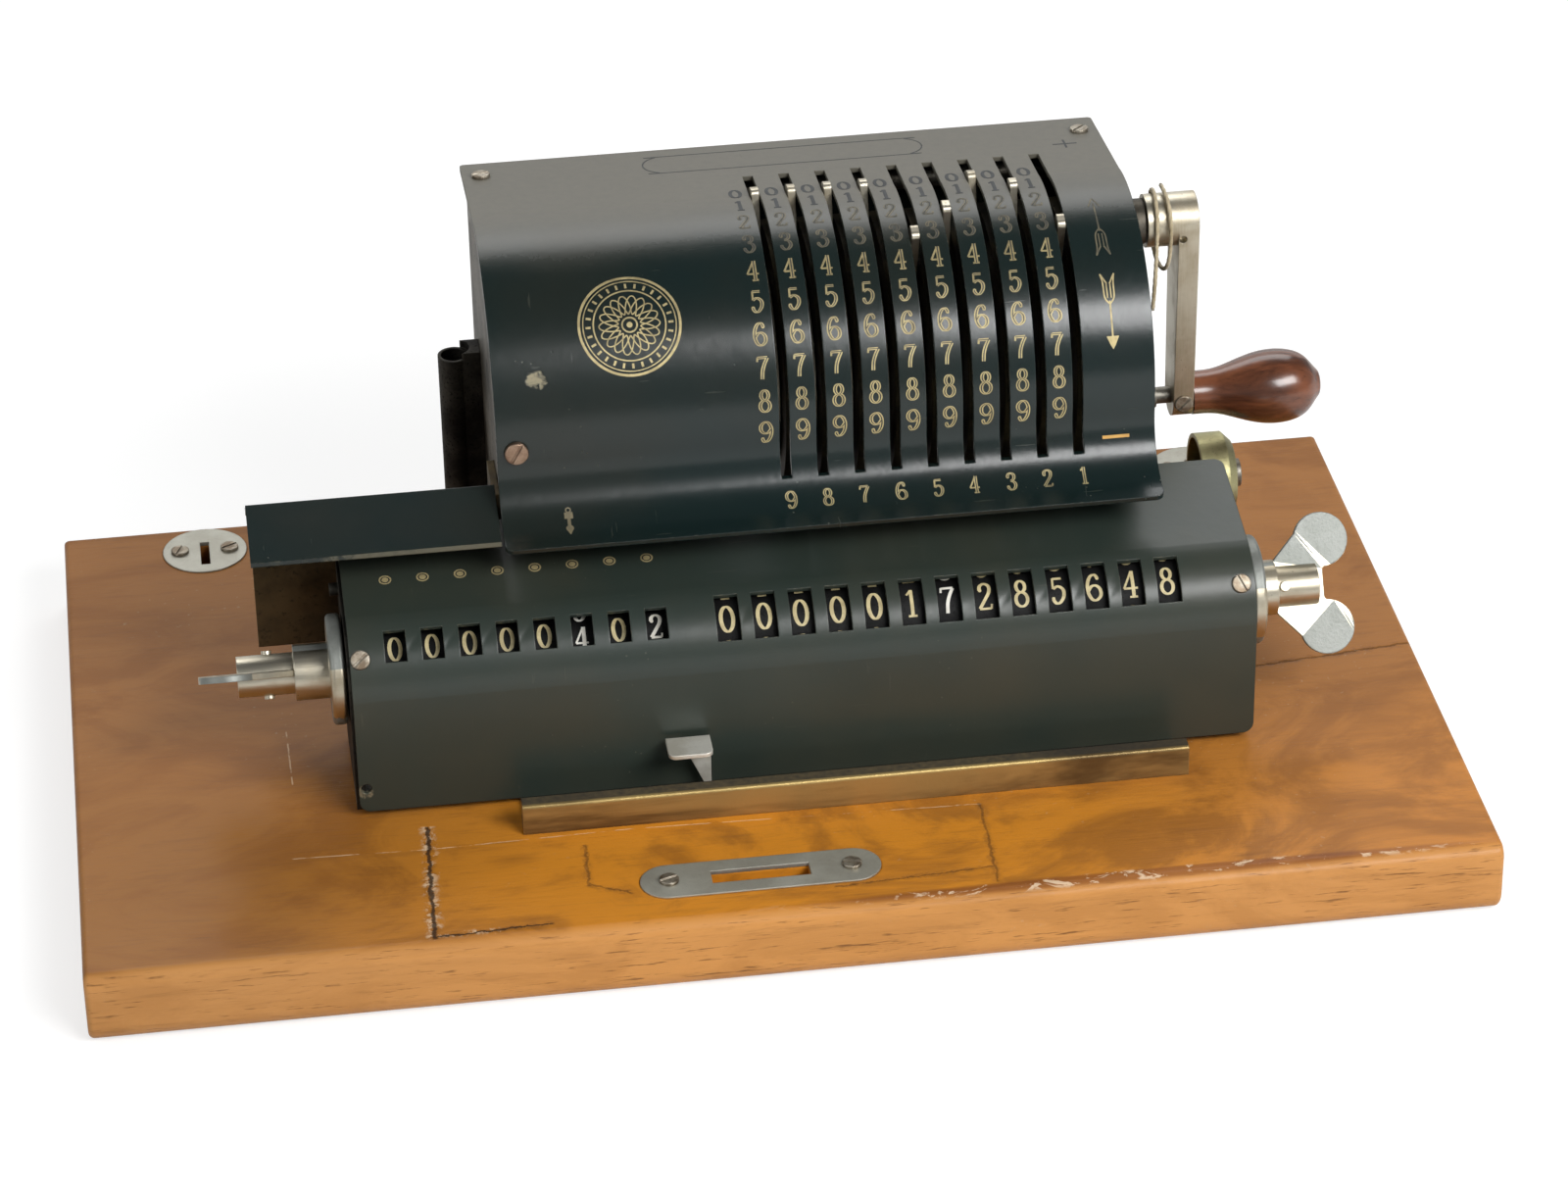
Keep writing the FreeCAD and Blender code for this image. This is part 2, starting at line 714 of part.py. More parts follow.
# Crank shaft with the second gear, set half a tooth on so that the teeth mesh
mesh_phase = lean + 180 + 180.0 / gear_teeth
crank_gear = gear(gear_x, gear_x + gear_width, crank_y, crank_z, pitch_radius - tooth_height / 2 - tooth_ease,
                  pitch_radius + tooth_height / 2 - tooth_ease, gear_teeth, gear_fill, mesh_phase)
crank_shaft = rod(gear_x, arm_right_x, crank_y, crank_z, crank_shaft_radius).fuse(crank_gear)
save("crank_shaft", [crank_shaft.removeSplitter()])

# Crank arm with its hub, hanging straight down at rest
hub = rod(bush_end_x + bush_gap, arm_right_x, crank_y, crank_z, hub_radius)
arm = [line((crank_y - hub_radius, crank_z), (crank_y - arm_tip_radius, handle_z))]
arm.append(arc((crank_y - arm_tip_radius, handle_z), (crank_y, handle_z - arm_tip_radius),
               (crank_y + arm_tip_radius, handle_z)))
arm.append(line((crank_y + arm_tip_radius, handle_z), (crank_y + hub_radius, crank_z)))
arm.append(line((crank_y + hub_radius, crank_z), (crank_y - hub_radius, crank_z)))
crank_arm = hub.fuse(sweep_x(arm, arm_left_x, arm_right_x)).removeSplitter()
crank_arm = crank_arm.cut(rod(gear_x, arm_right_x + 1, crank_y, crank_z, crank_shaft_radius))
crank_arm = crank_arm.cut(rod(arm_left_x - 1, arm_right_x + 1, crank_y, handle_z,
                              lock_pin_radius + running_clearance))
arm_mid_x = (arm_left_x + arm_right_x) / 2
oil = Vector(arm_left_x + 1.2, crank_y - hub_radius + oil_hole_depth - 2.5, crank_z - 3.0)
crank_arm = crank_arm.cut(Part.makeCylinder(oil_hole_radius, oil_hole_depth, oil, Vector(0, -1, 0)))
arm_screw = (Vector(arm_mid_x, crank_y - arm_tip_radius + 0.4, handle_z), Vector(0, -1, 0))
shank_stop = arm_screw[0] + Vector(0, 2.2, 0)
crank_arm = crank_arm.cut(Part.makeCylinder(shank_radius, 6, shank_stop, Vector(0, -1, 0)))
crank_arm = crank_arm.cut(Part.makeCylinder(screw_radius, 6, arm_screw[0], Vector(0, -1, 0)))
save("crank_arm", [crank_arm])
head = slotted_screw(arm_screw[0], arm_screw[1], screw_radius, screw_height, 45)
head = head.cut(box(arm_left_x - 5, arm_right_x + 5, shank_stop.y, shank_stop.y + 20,
                    handle_z - 5, handle_z + 5))
save("crank_screw", [head])

# Lock pin: through the arm, its tip just short of the casing, the grip's stem on its outer end
pin_tip_x = casing_right_x + lock_pin_gap
lock_end_x = arm_right_x + grip_gap + grip_length * 0.7
lock = rod(pin_tip_x, arm_right_x + grip_gap, crank_y, handle_z, lock_pin_radius)
lock = lock.fuse(rod(arm_right_x, lock_end_x, crank_y, handle_z, stem_radius))
collar_x = arm_left_x - grip_gap - pull_travel - lock_collar_length
lock = lock.fuse(rod(collar_x, collar_x + lock_collar_length, crank_y, handle_z, lock_collar_radius))
save("lock_pin", [lock.removeSplitter()])

# Turned wooden grip, free on its stem
grip_x = arm_right_x + grip_gap
grip_steps = [(0.0, grip_neck_radius), (0.17, grip_neck_radius * 1.04), (0.34, grip_neck_radius * 1.33)]
grip_steps += [(0.50, grip_bulb_radius * 0.945), (0.63, grip_bulb_radius), (0.77, grip_bulb_radius * 0.95)]
grip_steps += [(0.89, grip_bulb_radius * 0.74), (0.965, grip_bulb_radius * 0.43), (1.0, 0.0)]
knots = [Vector(grip_x + share * grip_length, crank_y + radius, handle_z) for share, radius in grip_steps]
curve = Part.BSplineCurve()
curve.interpolate(knots, InitialTangent=Vector(1, 0, 0), FinalTangent=Vector(0, -1, 0))
axis_start = Vector(grip_x, crank_y, handle_z)
half = [curve.toShape(), Part.LineSegment(knots[-1], axis_start).toShape()]
half.append(Part.LineSegment(axis_start, knots[0]).toShape())
grip = Part.Face(Part.Wire(half)).revolve(axis_start, Vector(1, 0, 0), 360)
grip = grip.cut(rod(grip_x - 1, lock_end_x + 0.3, crank_y, handle_z, stem_radius + running_clearance))
save("grip", [grip])

# Carriage cover: a sloping top, a round fold with the windows, and a tall front
def cover_profile(inset, back):
    radius = fold_radius - inset
    join = around(shaft_y, shaft_z, radius, cover_slope_deg)
    top = (back, join[1] + (back - join[0]) * math.tan(slope))
    bow = around(shaft_y, shaft_z, radius, (90 + cover_slope_deg) / 2)
    return top, join, bow, (shaft_y - radius, shaft_z)


top_o, join_o, bow_o, drop_o = cover_profile(0, cover_back_y)
top_i, join_i, bow_i, drop_i = cover_profile(cover_sheet, cover_back_y)
foot_o = (drop_o[0], carriage_bottom_z)
foot_i = (drop_i[0], carriage_bottom_z)
skin = [line(top_o, join_o), arc(join_o, bow_o, drop_o), line(drop_o, foot_o), line(foot_o, foot_i)]
skin += [line(foot_i, drop_i), arc(drop_i, bow_i, join_i), line(join_i, top_i), line(top_i, top_o)]
cover = sweep_x(skin, cover_left_x, cover_right_x)
rounded = []
for e in cover.Edges:
    c = e.CenterOfMass
    if (c.x < cover_left_x + 0.01 or c.x > cover_right_x - 0.01) and e.Length < cover_sheet * 1.05:
        rounded.append(e)
cover = cover.makeFillet(cover_corner, rounded)


def window(x, width, opening):
    # a wedge from the shaft through the fold
    reach = fold_radius + 6
    low = around(shaft_y, shaft_z, reach, window_centre_deg + opening / 2)
    high = around(shaft_y, shaft_z, reach, window_centre_deg - opening / 2)
    return sweep_x(outline([(shaft_y, shaft_z), low, high]), x - width / 2, x + width / 2)


for i in range(result_count):
    cover = cover.cut(window(result_first_x + i * pitch, result_window_width, result_window_deg))
for i in range(counter_count):
    cover = cover.cut(window(counter_first_x + i * pitch, counter_window_width, counter_window_deg))
low_hole = Part.makeCylinder(low_hole_radius, 10, Vector(cover_left_x + 2, foot_o[0] + 5, low_hole_z),
                             Vector(0, -1, 0))
cover = cover.cut(low_hole)
release_gap = release_thickness / 2 + release_slot_gap
cover = cover.cut(box(release_x - release_gap, release_x + release_gap, foot_o[0] - 2, foot_i[0] + 2,
                      carriage_bottom_z - 1, release_pivot_z + release_stem_rise + release_slot_gap))
last_slot_x = first_slot_x + (slot_count - 1) * pitch
cover = cover.cut(box(first_slot_x - travel_right - relief_margin, last_slot_x + travel_left + relief_margin,
                      relief_back_y, cover_back_y + 1, shaft_z, top_o[1] + 5))
screw_spots = []
for x in (cover_left_x + left_screw_inset, cover_right_x - right_screw_inset):
    y, z = around(shaft_y, shaft_z, fold_radius, carriage_screw_deg)
    way = Vector(0, y - shaft_y, z - shaft_z).normalize()
    screw_spots.append((Vector(x, y, z) - way * 0.25, way))
for place, normal in screw_spots:
    cover = cover.cut(shank_hole(place, normal))
    cover = cover.cut(Part.makeCylinder(screw_radius, 3, place, normal))
save("carriage_cover", [cover])
save("carriage_screws", [slotted_screw(place, normal, screw_radius, screw_height, 40 + 75 * i)
                         for i, (place, normal) in enumerate(screw_spots)])


# Carriage end plates and the bearing plate between the two registers
drop_i_radius = fold_radius - cover_sheet


def end_plate(x0, x1, back, shaft_hole, transfer):
    top, join, bow, drop = cover_profile(cover_sheet, min(back, cover_back_y))
    foot = (drop[0], carriage_bottom_z)
    edges = [line(top, join), arc(join, bow, drop), line(drop, foot)]
    heel = (back, carriage_bottom_z)
    edges.append(line(foot, heel))
    if back > cover_back_y:
        shoulder = (back, end_relief_z)
        edges.append(line(heel, shoulder))
        edges.append(line(shoulder, top))
    else:
        edges.append(line(heel, top))
    plate = sweep_x(edges, x0, x1)
    plate = plate.cut(rod(x0 - 1, x1 + 1, shaft_y, shaft_z, shaft_hole))
    if transfer:
        plate = plate.cut(rod(x0 - 1, x1 + 1, transfer_y, transfer_z,
                              transfer_shaft_radius + running_clearance))
    bottom = carriage_bottom_z
    bar = box(x0 - 1, x1 + 1, foot[0] + 1 - bar_gap, foot[0] + 1 + bar_depth + bar_gap, bottom - 1,
              bottom + bar_thickness)
    return plate.cut(bar)


wheel_hole = wheel_shaft_radius + running_clearance
left_end = end_plate(carriage_left_x, carriage_left_x + end_thickness, end_back_y, wheel_hole, False)
right_end_x = cover_right_x - cover_end_inset
right_end = end_plate(right_end_x - end_thickness, right_end_x, gear_end_back_y, wheel_hole, True)
middle = end_plate(middle_plate_x, middle_plate_x + end_thickness, gear_end_back_y, wheel_hole, True)
left_end = left_end.fuse(rod(carriage_left_x - stop_pin_length, carriage_left_x, stop_pin_y, stop_pin_z,
                             stop_pin_radius)).removeSplitter()
release_room = release_boss_radius + release_slot_gap
middle = middle.cut(box(middle_plate_x - 1, middle_plate_x + end_thickness + 1, drop_i[0] - 1,
                        release_pivot_y + release_room, carriage_bottom_z - 1, release_tab_z + bar_thickness))
lugs = []
for place, normal in screw_spots:
    # the lug's end follows the inside of the fold
    depth = lug_length + cover_sheet
    lug = Part.makeCylinder(lug_radius, depth, place - normal * depth, normal)
    lugs.append(lug.common(rod(cover_left_x, cover_right_x, shaft_y, shaft_z, drop_i_radius)))
left_end = left_end.fuse(lugs[0]).removeSplitter()
right_end = right_end.fuse(lugs[1]).removeSplitter()
ends = [left_end, middle, right_end]
for place, normal in screw_spots:
    ends = [plate.cut(shank_hole(place, normal)) for plate in ends]
save("carriage_ends", ends)

# Bottom bar of the carriage with two arms and sleeves on the guide rod
bar_y = foot_i[0] + 1
bar = box(carriage_left_x, right_end_x, bar_y, bar_y + bar_depth, carriage_bottom_z,
          carriage_bottom_z + bar_thickness)
for x in shoe_x:
    x0 = x - shoe_length / 2
    x1 = x + shoe_length / 2
    bar = bar.fuse(box(x0, x1, bar_y, guide_y, carriage_bottom_z, carriage_bottom_z + bar_thickness))
    bar = bar.fuse(rod(x0, x1, guide_y, guide_z, shoe_radius))
    bar = bar.fuse(box(x0, x1, guide_y - shoe_radius, guide_y, carriage_bottom_z, guide_z))
for x in shoe_x:
    bar = bar.cut(rod(x - shoe_length, x + shoe_length, guide_y, guide_z, guide_radius + shoe_clearance))
ear_left = release_x - release_thickness / 2 - running_clearance - bar_thickness
ear_right = release_x + release_thickness / 2 + running_clearance
for x in (ear_left, ear_right):
    ear = box(x, x + bar_thickness, release_pivot_y - release_boss_radius,
              release_pivot_y + release_boss_radius, carriage_bottom_z, release_pivot_z)
    bar = bar.fuse(ear).fuse(rod(x, x + bar_thickness, release_pivot_y, release_pivot_z, release_boss_radius))
bar = bar.fuse(rod(ear_left, ear_right + bar_thickness, release_pivot_y, release_pivot_z,
                   release_pivot_radius))
save("carriage_bar", [bar.removeSplitter()])

# Release lever: a thumb tab on a gusset that faces the front, a stem through the slot and a boss on the pivot
tab_front_y = foot_o[0] - release_tab_depth
tab_x0 = release_x - release_tab_left
tab_x1 = release_x + release_tab_right
thumb = box(tab_x0, tab_x1, tab_front_y, foot_o[0] - release_tab_gap, release_tab_z,
            release_tab_z + release_tab_thickness)
front_corners = [e for e in thumb.Edges if e.CenterOfMass.y < tab_front_y + 0.01 and e.BoundBox.ZLength > 1]
thumb = thumb.makeFillet(2.0, front_corners)
lever_x0 = release_x - release_thickness / 2
lever_x1 = release_x + release_thickness / 2
gusset_y = foot_o[0] - release_gusset_gap
gusset_corners = [(release_x - release_gusset_left, release_tab_z), (lever_x1, release_tab_z)]
gusset_corners += [(lever_x1, release_tip_z), (lever_x0, release_tip_z)]
gusset_outline = [Vector(x, gusset_y, z) for x, z in gusset_corners]
gusset = Part.Face(Part.makePolygon(gusset_outline + [gusset_outline[0]]))
gusset = gusset.extrude(Vector(0, -release_gusset_thickness, 0))
stem_top_z = release_pivot_z + release_stem_rise
stem = outline([(gusset_y - release_gusset_thickness / 2, stem_top_z), (release_pivot_y, stem_top_z),
                (release_pivot_y, release_stem_low_z + 3), (foot_o[0] - 0.6, release_stem_low_z),
                (gusset_y - release_gusset_thickness / 2, release_stem_low_z)])
release = sweep_x(stem, lever_x0, lever_x1)
release = release.fuse(rod(lever_x0, lever_x1, release_pivot_y, release_pivot_z, release_boss_radius))
release = release.fuse(thumb).fuse(gusset).removeSplitter()
release = release.cut(rod(lever_x0 - 1, lever_x1 + 1, release_pivot_y, release_pivot_z,
                          release_pivot_radius + running_clearance))
save("release_lever", [release])

# Numeral wheels, each with its own small gear beside it
def numeral_wheel(x, radius):
    x0 = x - wheel_width / 2
    x1 = x + wheel_width / 2
    tip = radius - wheel_gear_drop
    wheel = rod(x0, x1, shaft_y, shaft_z, radius)
    rims = [e for e in wheel.Edges if e.BoundBox.XLength < 0.01]
    wheel = wheel.makeChamfer(0.3, rims)
    wheel = wheel.fuse(gear(x1, x1 + wheel_gear_width, shaft_y, shaft_z, tip - wheel_tooth_height, tip,
                            wheel_gear_teeth, 0.5, 0))
    wheel = wheel.cut(rod(x0 - 1, x1 + 5, shaft_y, shaft_z, wheel_shaft_radius + running_clearance))
    return wheel.removeSplitter()


for i in range(result_count):
    save("result_wheel_" + str(i + 1), [numeral_wheel(result_first_x + i * pitch, result_wheel_radius)])
for i in range(counter_count):
    save("counter_wheel_" + str(i + 1), [numeral_wheel(counter_first_x + i * pitch, counter_wheel_radius)])

# Transfer gears on one shaft, between the drum and the result wheels
transfer = [rod(middle_plate_x, right_end_x, transfer_y, transfer_z, transfer_shaft_radius)]
for i in range(result_count):
    x = result_first_x + i * pitch + transfer_offset - transfer_width / 2
    wheel = gear(x, x + transfer_width, transfer_y, transfer_z, transfer_radius - transfer_tooth,
                 transfer_radius, transfer_teeth, 0.5, 15)
    bore = rod(x - 1, x + transfer_width + 1, transfer_y, transfer_z, transfer_shaft_radius)
    transfer.append(wheel.cut(bore))
save("transfer_gears", transfer)


# Wing nuts: disc, hub and barrel turned with the shaft, a plate with two lobes in the barrel's slot
def wing_nut(end_x, way, hub_length_here, barrel_length, overhang, pin_place, wing_deg, shaft_reach):
    gap_x = end_x + way * wing_disc_gap
    disc_x = gap_x + way * wing_disc_thickness
    hub_x = disc_x + way * hub_length_here
    barrel_x = hub_x + way * barrel_length

    def turned_rod(a, b, radius):
        return rod(min(a, b), max(a, b), shaft_y, shaft_z, radius)

    disc = turned_rod(gap_x, disc_x, wing_disc_radius)
    disc = disc.makeFillet(1.2, [e for e in disc.Edges if e.BoundBox.XLength < 0.01])
    body = disc.fuse(turned_rod(disc_x, hub_x, wing_hub_radius))
    body = body.fuse(turned_rod(hub_x, barrel_x, wing_barrel_radius))
    body = body.fuse(turned_rod(shaft_reach, disc_x, wheel_shaft_radius))
    lobe_x = barrel_x + way * (overhang - wing_lobe_radius)
    half = wing_plate / 2
    low_x = min(hub_x, barrel_x + way * 2)
    high_x = max(hub_x, barrel_x + way * 2)
    rise = wing_barrel_radius + wing_plate_rise
    plate = box(low_x, high_x, shaft_y - half, shaft_y + half, shaft_z - rise, shaft_z + rise)
    for side in (-1, 1):
        lobe_z = shaft_z + side * wing_lobe_offset
        lobe = Part.makeCylinder(wing_lobe_radius, wing_plate, Vector(lobe_x, shaft_y - half, lobe_z),
                                 Vector(0, 1, 0))
        reach = wing_lobe_radius * 0.8
        neck = [Vector(hub_x + way * 0.2, shaft_y - half, shaft_z + side * 2)]
        neck.append(Vector(hub_x + way * 0.2, shaft_y - half, shaft_z + side * wing_barrel_radius * 1.25))
        neck.append(Vector(lobe_x - way * reach * 0.75, shaft_y - half, lobe_z + side * reach * 0.82))
        neck.append(Vector(lobe_x + way * reach * 0.3, shaft_y - half, lobe_z - side * reach))
        neck.append(Vector(barrel_x, shaft_y - half, shaft_z + side * 2))
        wedge = Part.Face(Part.makePolygon(neck + [neck[0]])).extrude(Vector(0, wing_plate, 0))
        plate = plate.fuse(lobe).fuse(wedge)
    slot = box(min(hub_x, barrel_x + way), max(hub_x, barrel_x + way), shaft_y - half - wing_slot_gap,
               shaft_y + half + wing_slot_gap, shaft_z - 30, shaft_z + 30)
    body = body.cut(slot)
    pin_x = hub_x + way * pin_place
    pin_reach = wing_barrel_radius + wing_pin_height
    pin = Part.makeCylinder(wing_pin_radius, 2 * pin_reach, Vector(pin_x, shaft_y - pin_reach, shaft_z),
                            Vector(0, 1, 0))
    body = body.cut(pin)
    plate = plate.removeSplitter().cut(pin)
    parts = [body, plate, pin]
    for piece in parts:
        turned(piece, shaft_y, shaft_z, wing_deg)
    return parts


save("wing_nut_right", wing_nut(right_end_x, 1, right_hub_length, right_barrel_length, right_overhang,
                                right_pin_place, -right_wing_deg, middle_plate_x + end_thickness / 2 + 0.3))
save("wing_nut_left", wing_nut(carriage_left_x, -1, left_hub_length, left_barrel_length, left_overhang,
                               left_pin_place, -left_wing_deg, middle_plate_x + end_thickness / 2 - 0.3))

# String: a loose loop over the hub, tied at the top, with one tail in front
def tied_path(points):
    # straight runs joined by arcs, each as large as its two runs allow
    edges = []
    radii = []
    last = points[0]
    for a, b, c in zip(points, points[1:], points[2:]):
        back = (a - b).normalize()
        ahead = (c - b).normalize()
        half = (math.pi - back.getAngle(ahead)) / 2
        reach = 0.45 * min((a - b).Length, (c - b).Length)
        radii.append(reach / math.tan(half))
        start = b + back * reach
        finish = b + ahead * reach
        middle = (back + ahead).normalize()
        depth = radii[-1] / math.cos(half) - radii[-1]
        edges.append(Part.LineSegment(last, start).toShape())
        edges.append(Part.Arc(start, b + middle * depth, finish).toShape())
        last = finish
    edges.append(Part.LineSegment(last, points[-1]).toShape())
    print("string radii", [round(r, 1) for r in radii])
    return Part.Wire(edges)


wrap = hub_radius + string_radius + string_gap
knee = wrap * math.tan(math.radians(22.5))
string_places = [(0.0, -wrap - 0.4, -wrap - 15.0), (0.2, -wrap - 1.2, -wrap - 8.5)]
string_places += [(0.6, -wrap - 0.7, -wrap - 1.5), (0.9, -wrap, knee)]
string_places += [(1.2, -knee, wrap), (1.6, knee, wrap), (2.0, wrap, knee), (2.5, wrap + 0.6, knee - 9.0)]
string_places += [(3.1, knee + 2.0, -wrap - 5.2), (3.7, -knee, -wrap - 6.0), (4.3, -wrap - 1.2, -wrap - 0.4)]
string_places += [(4.7, -wrap - 0.9, knee), (4.4, -knee, wrap + 0.7), (4.1, knee, wrap + 0.5)]
string_points = [Vector(string_x + x, crank_y + y, crank_z + z) for x, y, z in string_places]
string_wire = tied_path(string_points)
first = string_points[1] - string_points[0]
section = Part.Wire(Part.makeCircle(string_radius, string_points[0], first))
string = string_wire.makePipeShell([section], True, True)
print("string volume", round(string.Volume, 2), round(math.pi * string_radius ** 2 * string_wire.Length, 2))
save("tag_string", [string])
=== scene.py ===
import bmesh
import bpy
import math
from mathutils import Matrix, Vector


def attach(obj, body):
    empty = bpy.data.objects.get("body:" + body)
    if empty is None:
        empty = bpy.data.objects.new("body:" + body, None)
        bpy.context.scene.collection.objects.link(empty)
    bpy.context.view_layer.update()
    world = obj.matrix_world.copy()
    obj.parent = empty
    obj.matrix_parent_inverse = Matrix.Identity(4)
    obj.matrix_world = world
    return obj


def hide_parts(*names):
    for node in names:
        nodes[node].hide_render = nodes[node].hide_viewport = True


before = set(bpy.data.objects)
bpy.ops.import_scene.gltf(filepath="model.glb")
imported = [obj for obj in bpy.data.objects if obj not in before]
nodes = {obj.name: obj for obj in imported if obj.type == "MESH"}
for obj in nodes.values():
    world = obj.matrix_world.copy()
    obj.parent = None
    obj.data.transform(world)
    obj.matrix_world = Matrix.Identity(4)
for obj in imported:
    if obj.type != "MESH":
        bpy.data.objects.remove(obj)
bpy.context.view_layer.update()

mm = 0.001


class Wire:
    # an output socket of a finish, so that its maths reads as plain expressions
    def __init__(self, finish, socket):
        self.finish = finish
        self.socket = socket

    def calc(self, operation, first, second=0.0):
        return self.finish.node("Math", {"operation": operation}, {0: first, 1: second})

    def __add__(self, other):
        return self.calc("ADD", self, other)

    def __radd__(self, other):
        return self.calc("ADD", other, self)

    def __sub__(self, other):
        return self.calc("SUBTRACT", self, other)

    def __rsub__(self, other):
        return self.calc("SUBTRACT", other, self)

    def __mul__(self, other):
        return self.calc("MULTIPLY", self, other)

    def __rmul__(self, other):
        return self.calc("MULTIPLY", other, self)

    def __abs__(self):
        return self.calc("ABSOLUTE", self)

    def least(self, other):
        return self.calc("MINIMUM", self, other)

    def most(self, other):
        return self.calc("MAXIMUM", self, other)

    def between(self, low, high):
        # 0 below low, 1 above high, smooth in between
        settings = {"interpolation_type": "SMOOTHSTEP"}
        return self.finish.node("MapRange", settings, {"Value": self, "From Min": low, "From Max": high})


class Finish:
    def __init__(self, name, owner=None):
        self.owner = owner or bpy.data.materials.new(name)
        self.owner.use_nodes = True
        self.tree = self.owner.node_tree
        self.tree.nodes.clear()
        self.spot = self.node("TexCoord", output="Object")

    def node(self, kind, settings=None, sockets=None, output=0):
        made = self.tree.nodes.new("ShaderNode" + kind)
        for key, value in (settings or {}).items():
            setattr(made, key, value)
        for key, value in (sockets or {}).items():
            if isinstance(value, Wire):
                self.tree.links.new(value.socket, made.inputs[key])
            else:
                made.inputs[key].default_value = value
        return Wire(self, made.outputs[output]) if made.outputs else None

    def scaled(self, x, y, z, shift=(0.0, 0.0, 0.0)):
        moved = self.node("VectorMath", {"operation": "ADD"}, {0: self.spot, 1: shift})
        return self.node("VectorMath", {"operation": "MULTIPLY"}, {0: moved, 1: (x, y, z)})

    def noise(self, scale, detail=3.0, rough=0.55, warp=0.0, at=None):
        return self.node("TexNoise", {}, {"Vector": at or self.spot, "Scale": scale, "Detail": detail,
                                          "Roughness": rough, "Distortion": warp}, "Fac")

    def cells(self, scale):
        return self.node("TexVoronoi", {}, {"Vector": self.spot, "Scale": scale}, "Distance")

    def axis(self, name):
        return self.node("SeparateXYZ", {}, {0: self.spot}, name)

    def near(self, centre, reach):
        # 1 at the centre, 0 from one reach away
        moved = self.node("VectorMath", {"operation": "SUBTRACT"}, {0: self.spot, 1: centre})
        sized = self.node("VectorMath", {"operation": "DIVIDE"}, {0: moved, 1: reach})
        return 1.0 - self.node("VectorMath", {"operation": "LENGTH"}, {0: sized}, "Value").between(0.0, 1.0)

    def mix(self, factor, first, second):
        first = first if isinstance(first, Wire) else (*first, 1.0)
        second = second if isinstance(second, Wire) else (*second, 1.0)
        return self.node("Mix", {"data_type": "RGBA"}, {0: factor, 6: first, 7: second}, 2)

    def edges(self, radius, low=0.02, high=0.2):
        # how far the surface turns within this radius: 1 on a sharp edge
        soft = self.node("Bevel", {"samples": 6}, {"Radius": radius})
        hard = self.node("NewGeometry", output="Normal")
        same = self.node("VectorMath", {"operation": "DOT_PRODUCT"}, {0: soft, 1: hard}, "Value")
        return (1.0 - same).between(low, high), soft

    def bump(self, height, strength, distance, normal=None):
        sockets = {"Height": height, "Strength": strength, "Distance": distance}
        if normal:
            sockets["Normal"] = normal
        return self.node("Bump", {}, sockets)

    def done(self, sockets):
        self.node("OutputMaterial", {}, {"Surface": self.node("BsdfPrincipled", {}, sockets)})
        return self.owner


# a rubbed place is its centre and its reach, in metres
lacquerLook = {"colour": (0.0055, 0.0135, 0.0130), "warm": (0.011, 0.015, 0.012), "bare": (0.26, 0.23, 0.15),
               "faded": (0.125, 0.116, 0.090), "nick": (0.13, 0.125, 0.09), "gloss": 0.17, "wear": 0.45}
# the faded colour on the casing's flat top is partly dulled lacquer and partly a painted reflection
casingLook = dict(lacquerLook, fadeAndSheen=(0.010, 0.040), rubbed=((-0.056, -0.0102, 0.1298), (0.006, 0.010, 0.005)))
# the carriage's lacquer is a lighter copy of the casing's: the lighter colour is painted light that lifts the
# carriage's shaded front
carriageLook = dict(lacquerLook, colour=(0.024, 0.034, 0.028), warm=(0.036, 0.040, 0.029), gloss=0.27,
                    wear=0.7, rubbed=((-0.110, -0.0489, 0.0300), (0.005, 0.010, 0.005)))
extensionLook = dict(lacquerLook, lip=-0.0266, lipRun=(-0.130, -0.070))


def lacquer(name, look=lacquerLook):
    f = Finish(name)
    large = f.noise(14.0, 4.0, 0.6)
    fine = f.noise(420.0, 3.0, 0.6)
    colour = f.mix(large.between(0.35, 0.7), look["colour"], look["warm"])
    rough = look["gloss"] + large * 0.08 + fine * 0.05
    if "fadeAndSheen" in look:
        # daylight has dulled the flat top; its pale colour is also a painted reflection of the bright room
        # behind it, fading out down the upper drum
        dulledAndSheen = (f.axis("Y") + (large - 0.5) * 0.010).between(*look["fadeAndSheen"])
        colour = f.mix(dulledAndSheen * (0.75 + fine * 0.4), colour, look["faded"])
        rough = rough + dulledAndSheen * 0.26
    edge, rounded = f.edges(0.0004, 0.05, 0.3)
    worn = edge * f.noise(700.0, 3.0, 0.7).between(0.50, 0.66) * look["wear"]
    if "rubbed" in look:
        rag = f.noise(260.0, 4.0, 0.7, 0.6)
        patch = (f.near(*look["rubbed"]) + rag - 0.5).between(0.55, 0.75)
        worn = worn.most(patch * rag.between(0.40, 0.60))
    if "lip" in look:
        # the front lip is rubbed to bare metal, most of all at its right end
        run = f.axis("X").between(*look["lipRun"]) * 0.5 + 0.35
        lip = (look["lip"] - f.axis("Y")).between(0.0, 0.0005)
        worn = worn.most(lip * (f.noise(160.0, 4.0, 0.7) + run).between(0.85, 1.15) * 0.6)
    colour = f.mix(worn, colour, look["bare"])
    # fine scratches in two directions, and specks
    along = f.noise(60.0, 2.0, 0.5, at=f.scaled(1.0, 14.0, 14.0))
    across = f.noise(60.0, 2.0, 0.5, 0.4, at=f.scaled(16.0, 1.5, 1.5, (0.3, 0.1, 0.7)))
    scratch = (along.between(0.735, 0.76) + across.between(0.745, 0.77)).least(1.0)
    speck = (1.0 - f.cells(330.0).between(0.05, 0.10)) * f.noise(35.0, 2.0).between(0.56, 0.66)
    marks = (scratch * 0.25 + speck * 0.8).least(1.0)
    colour = f.mix(marks * 0.5, colour, look["nick"])
    rough = rough + marks * 0.25 + worn * 0.2
    normal = f.bump(fine * 0.4 + f.noise(90.0, 3.0) - marks * 0.6 - worn, 0.10, 0.0006, rounded)
    return f.done({"Base Color": colour, "Roughness": rough, "Metallic": worn * 0.6, "Normal": normal})


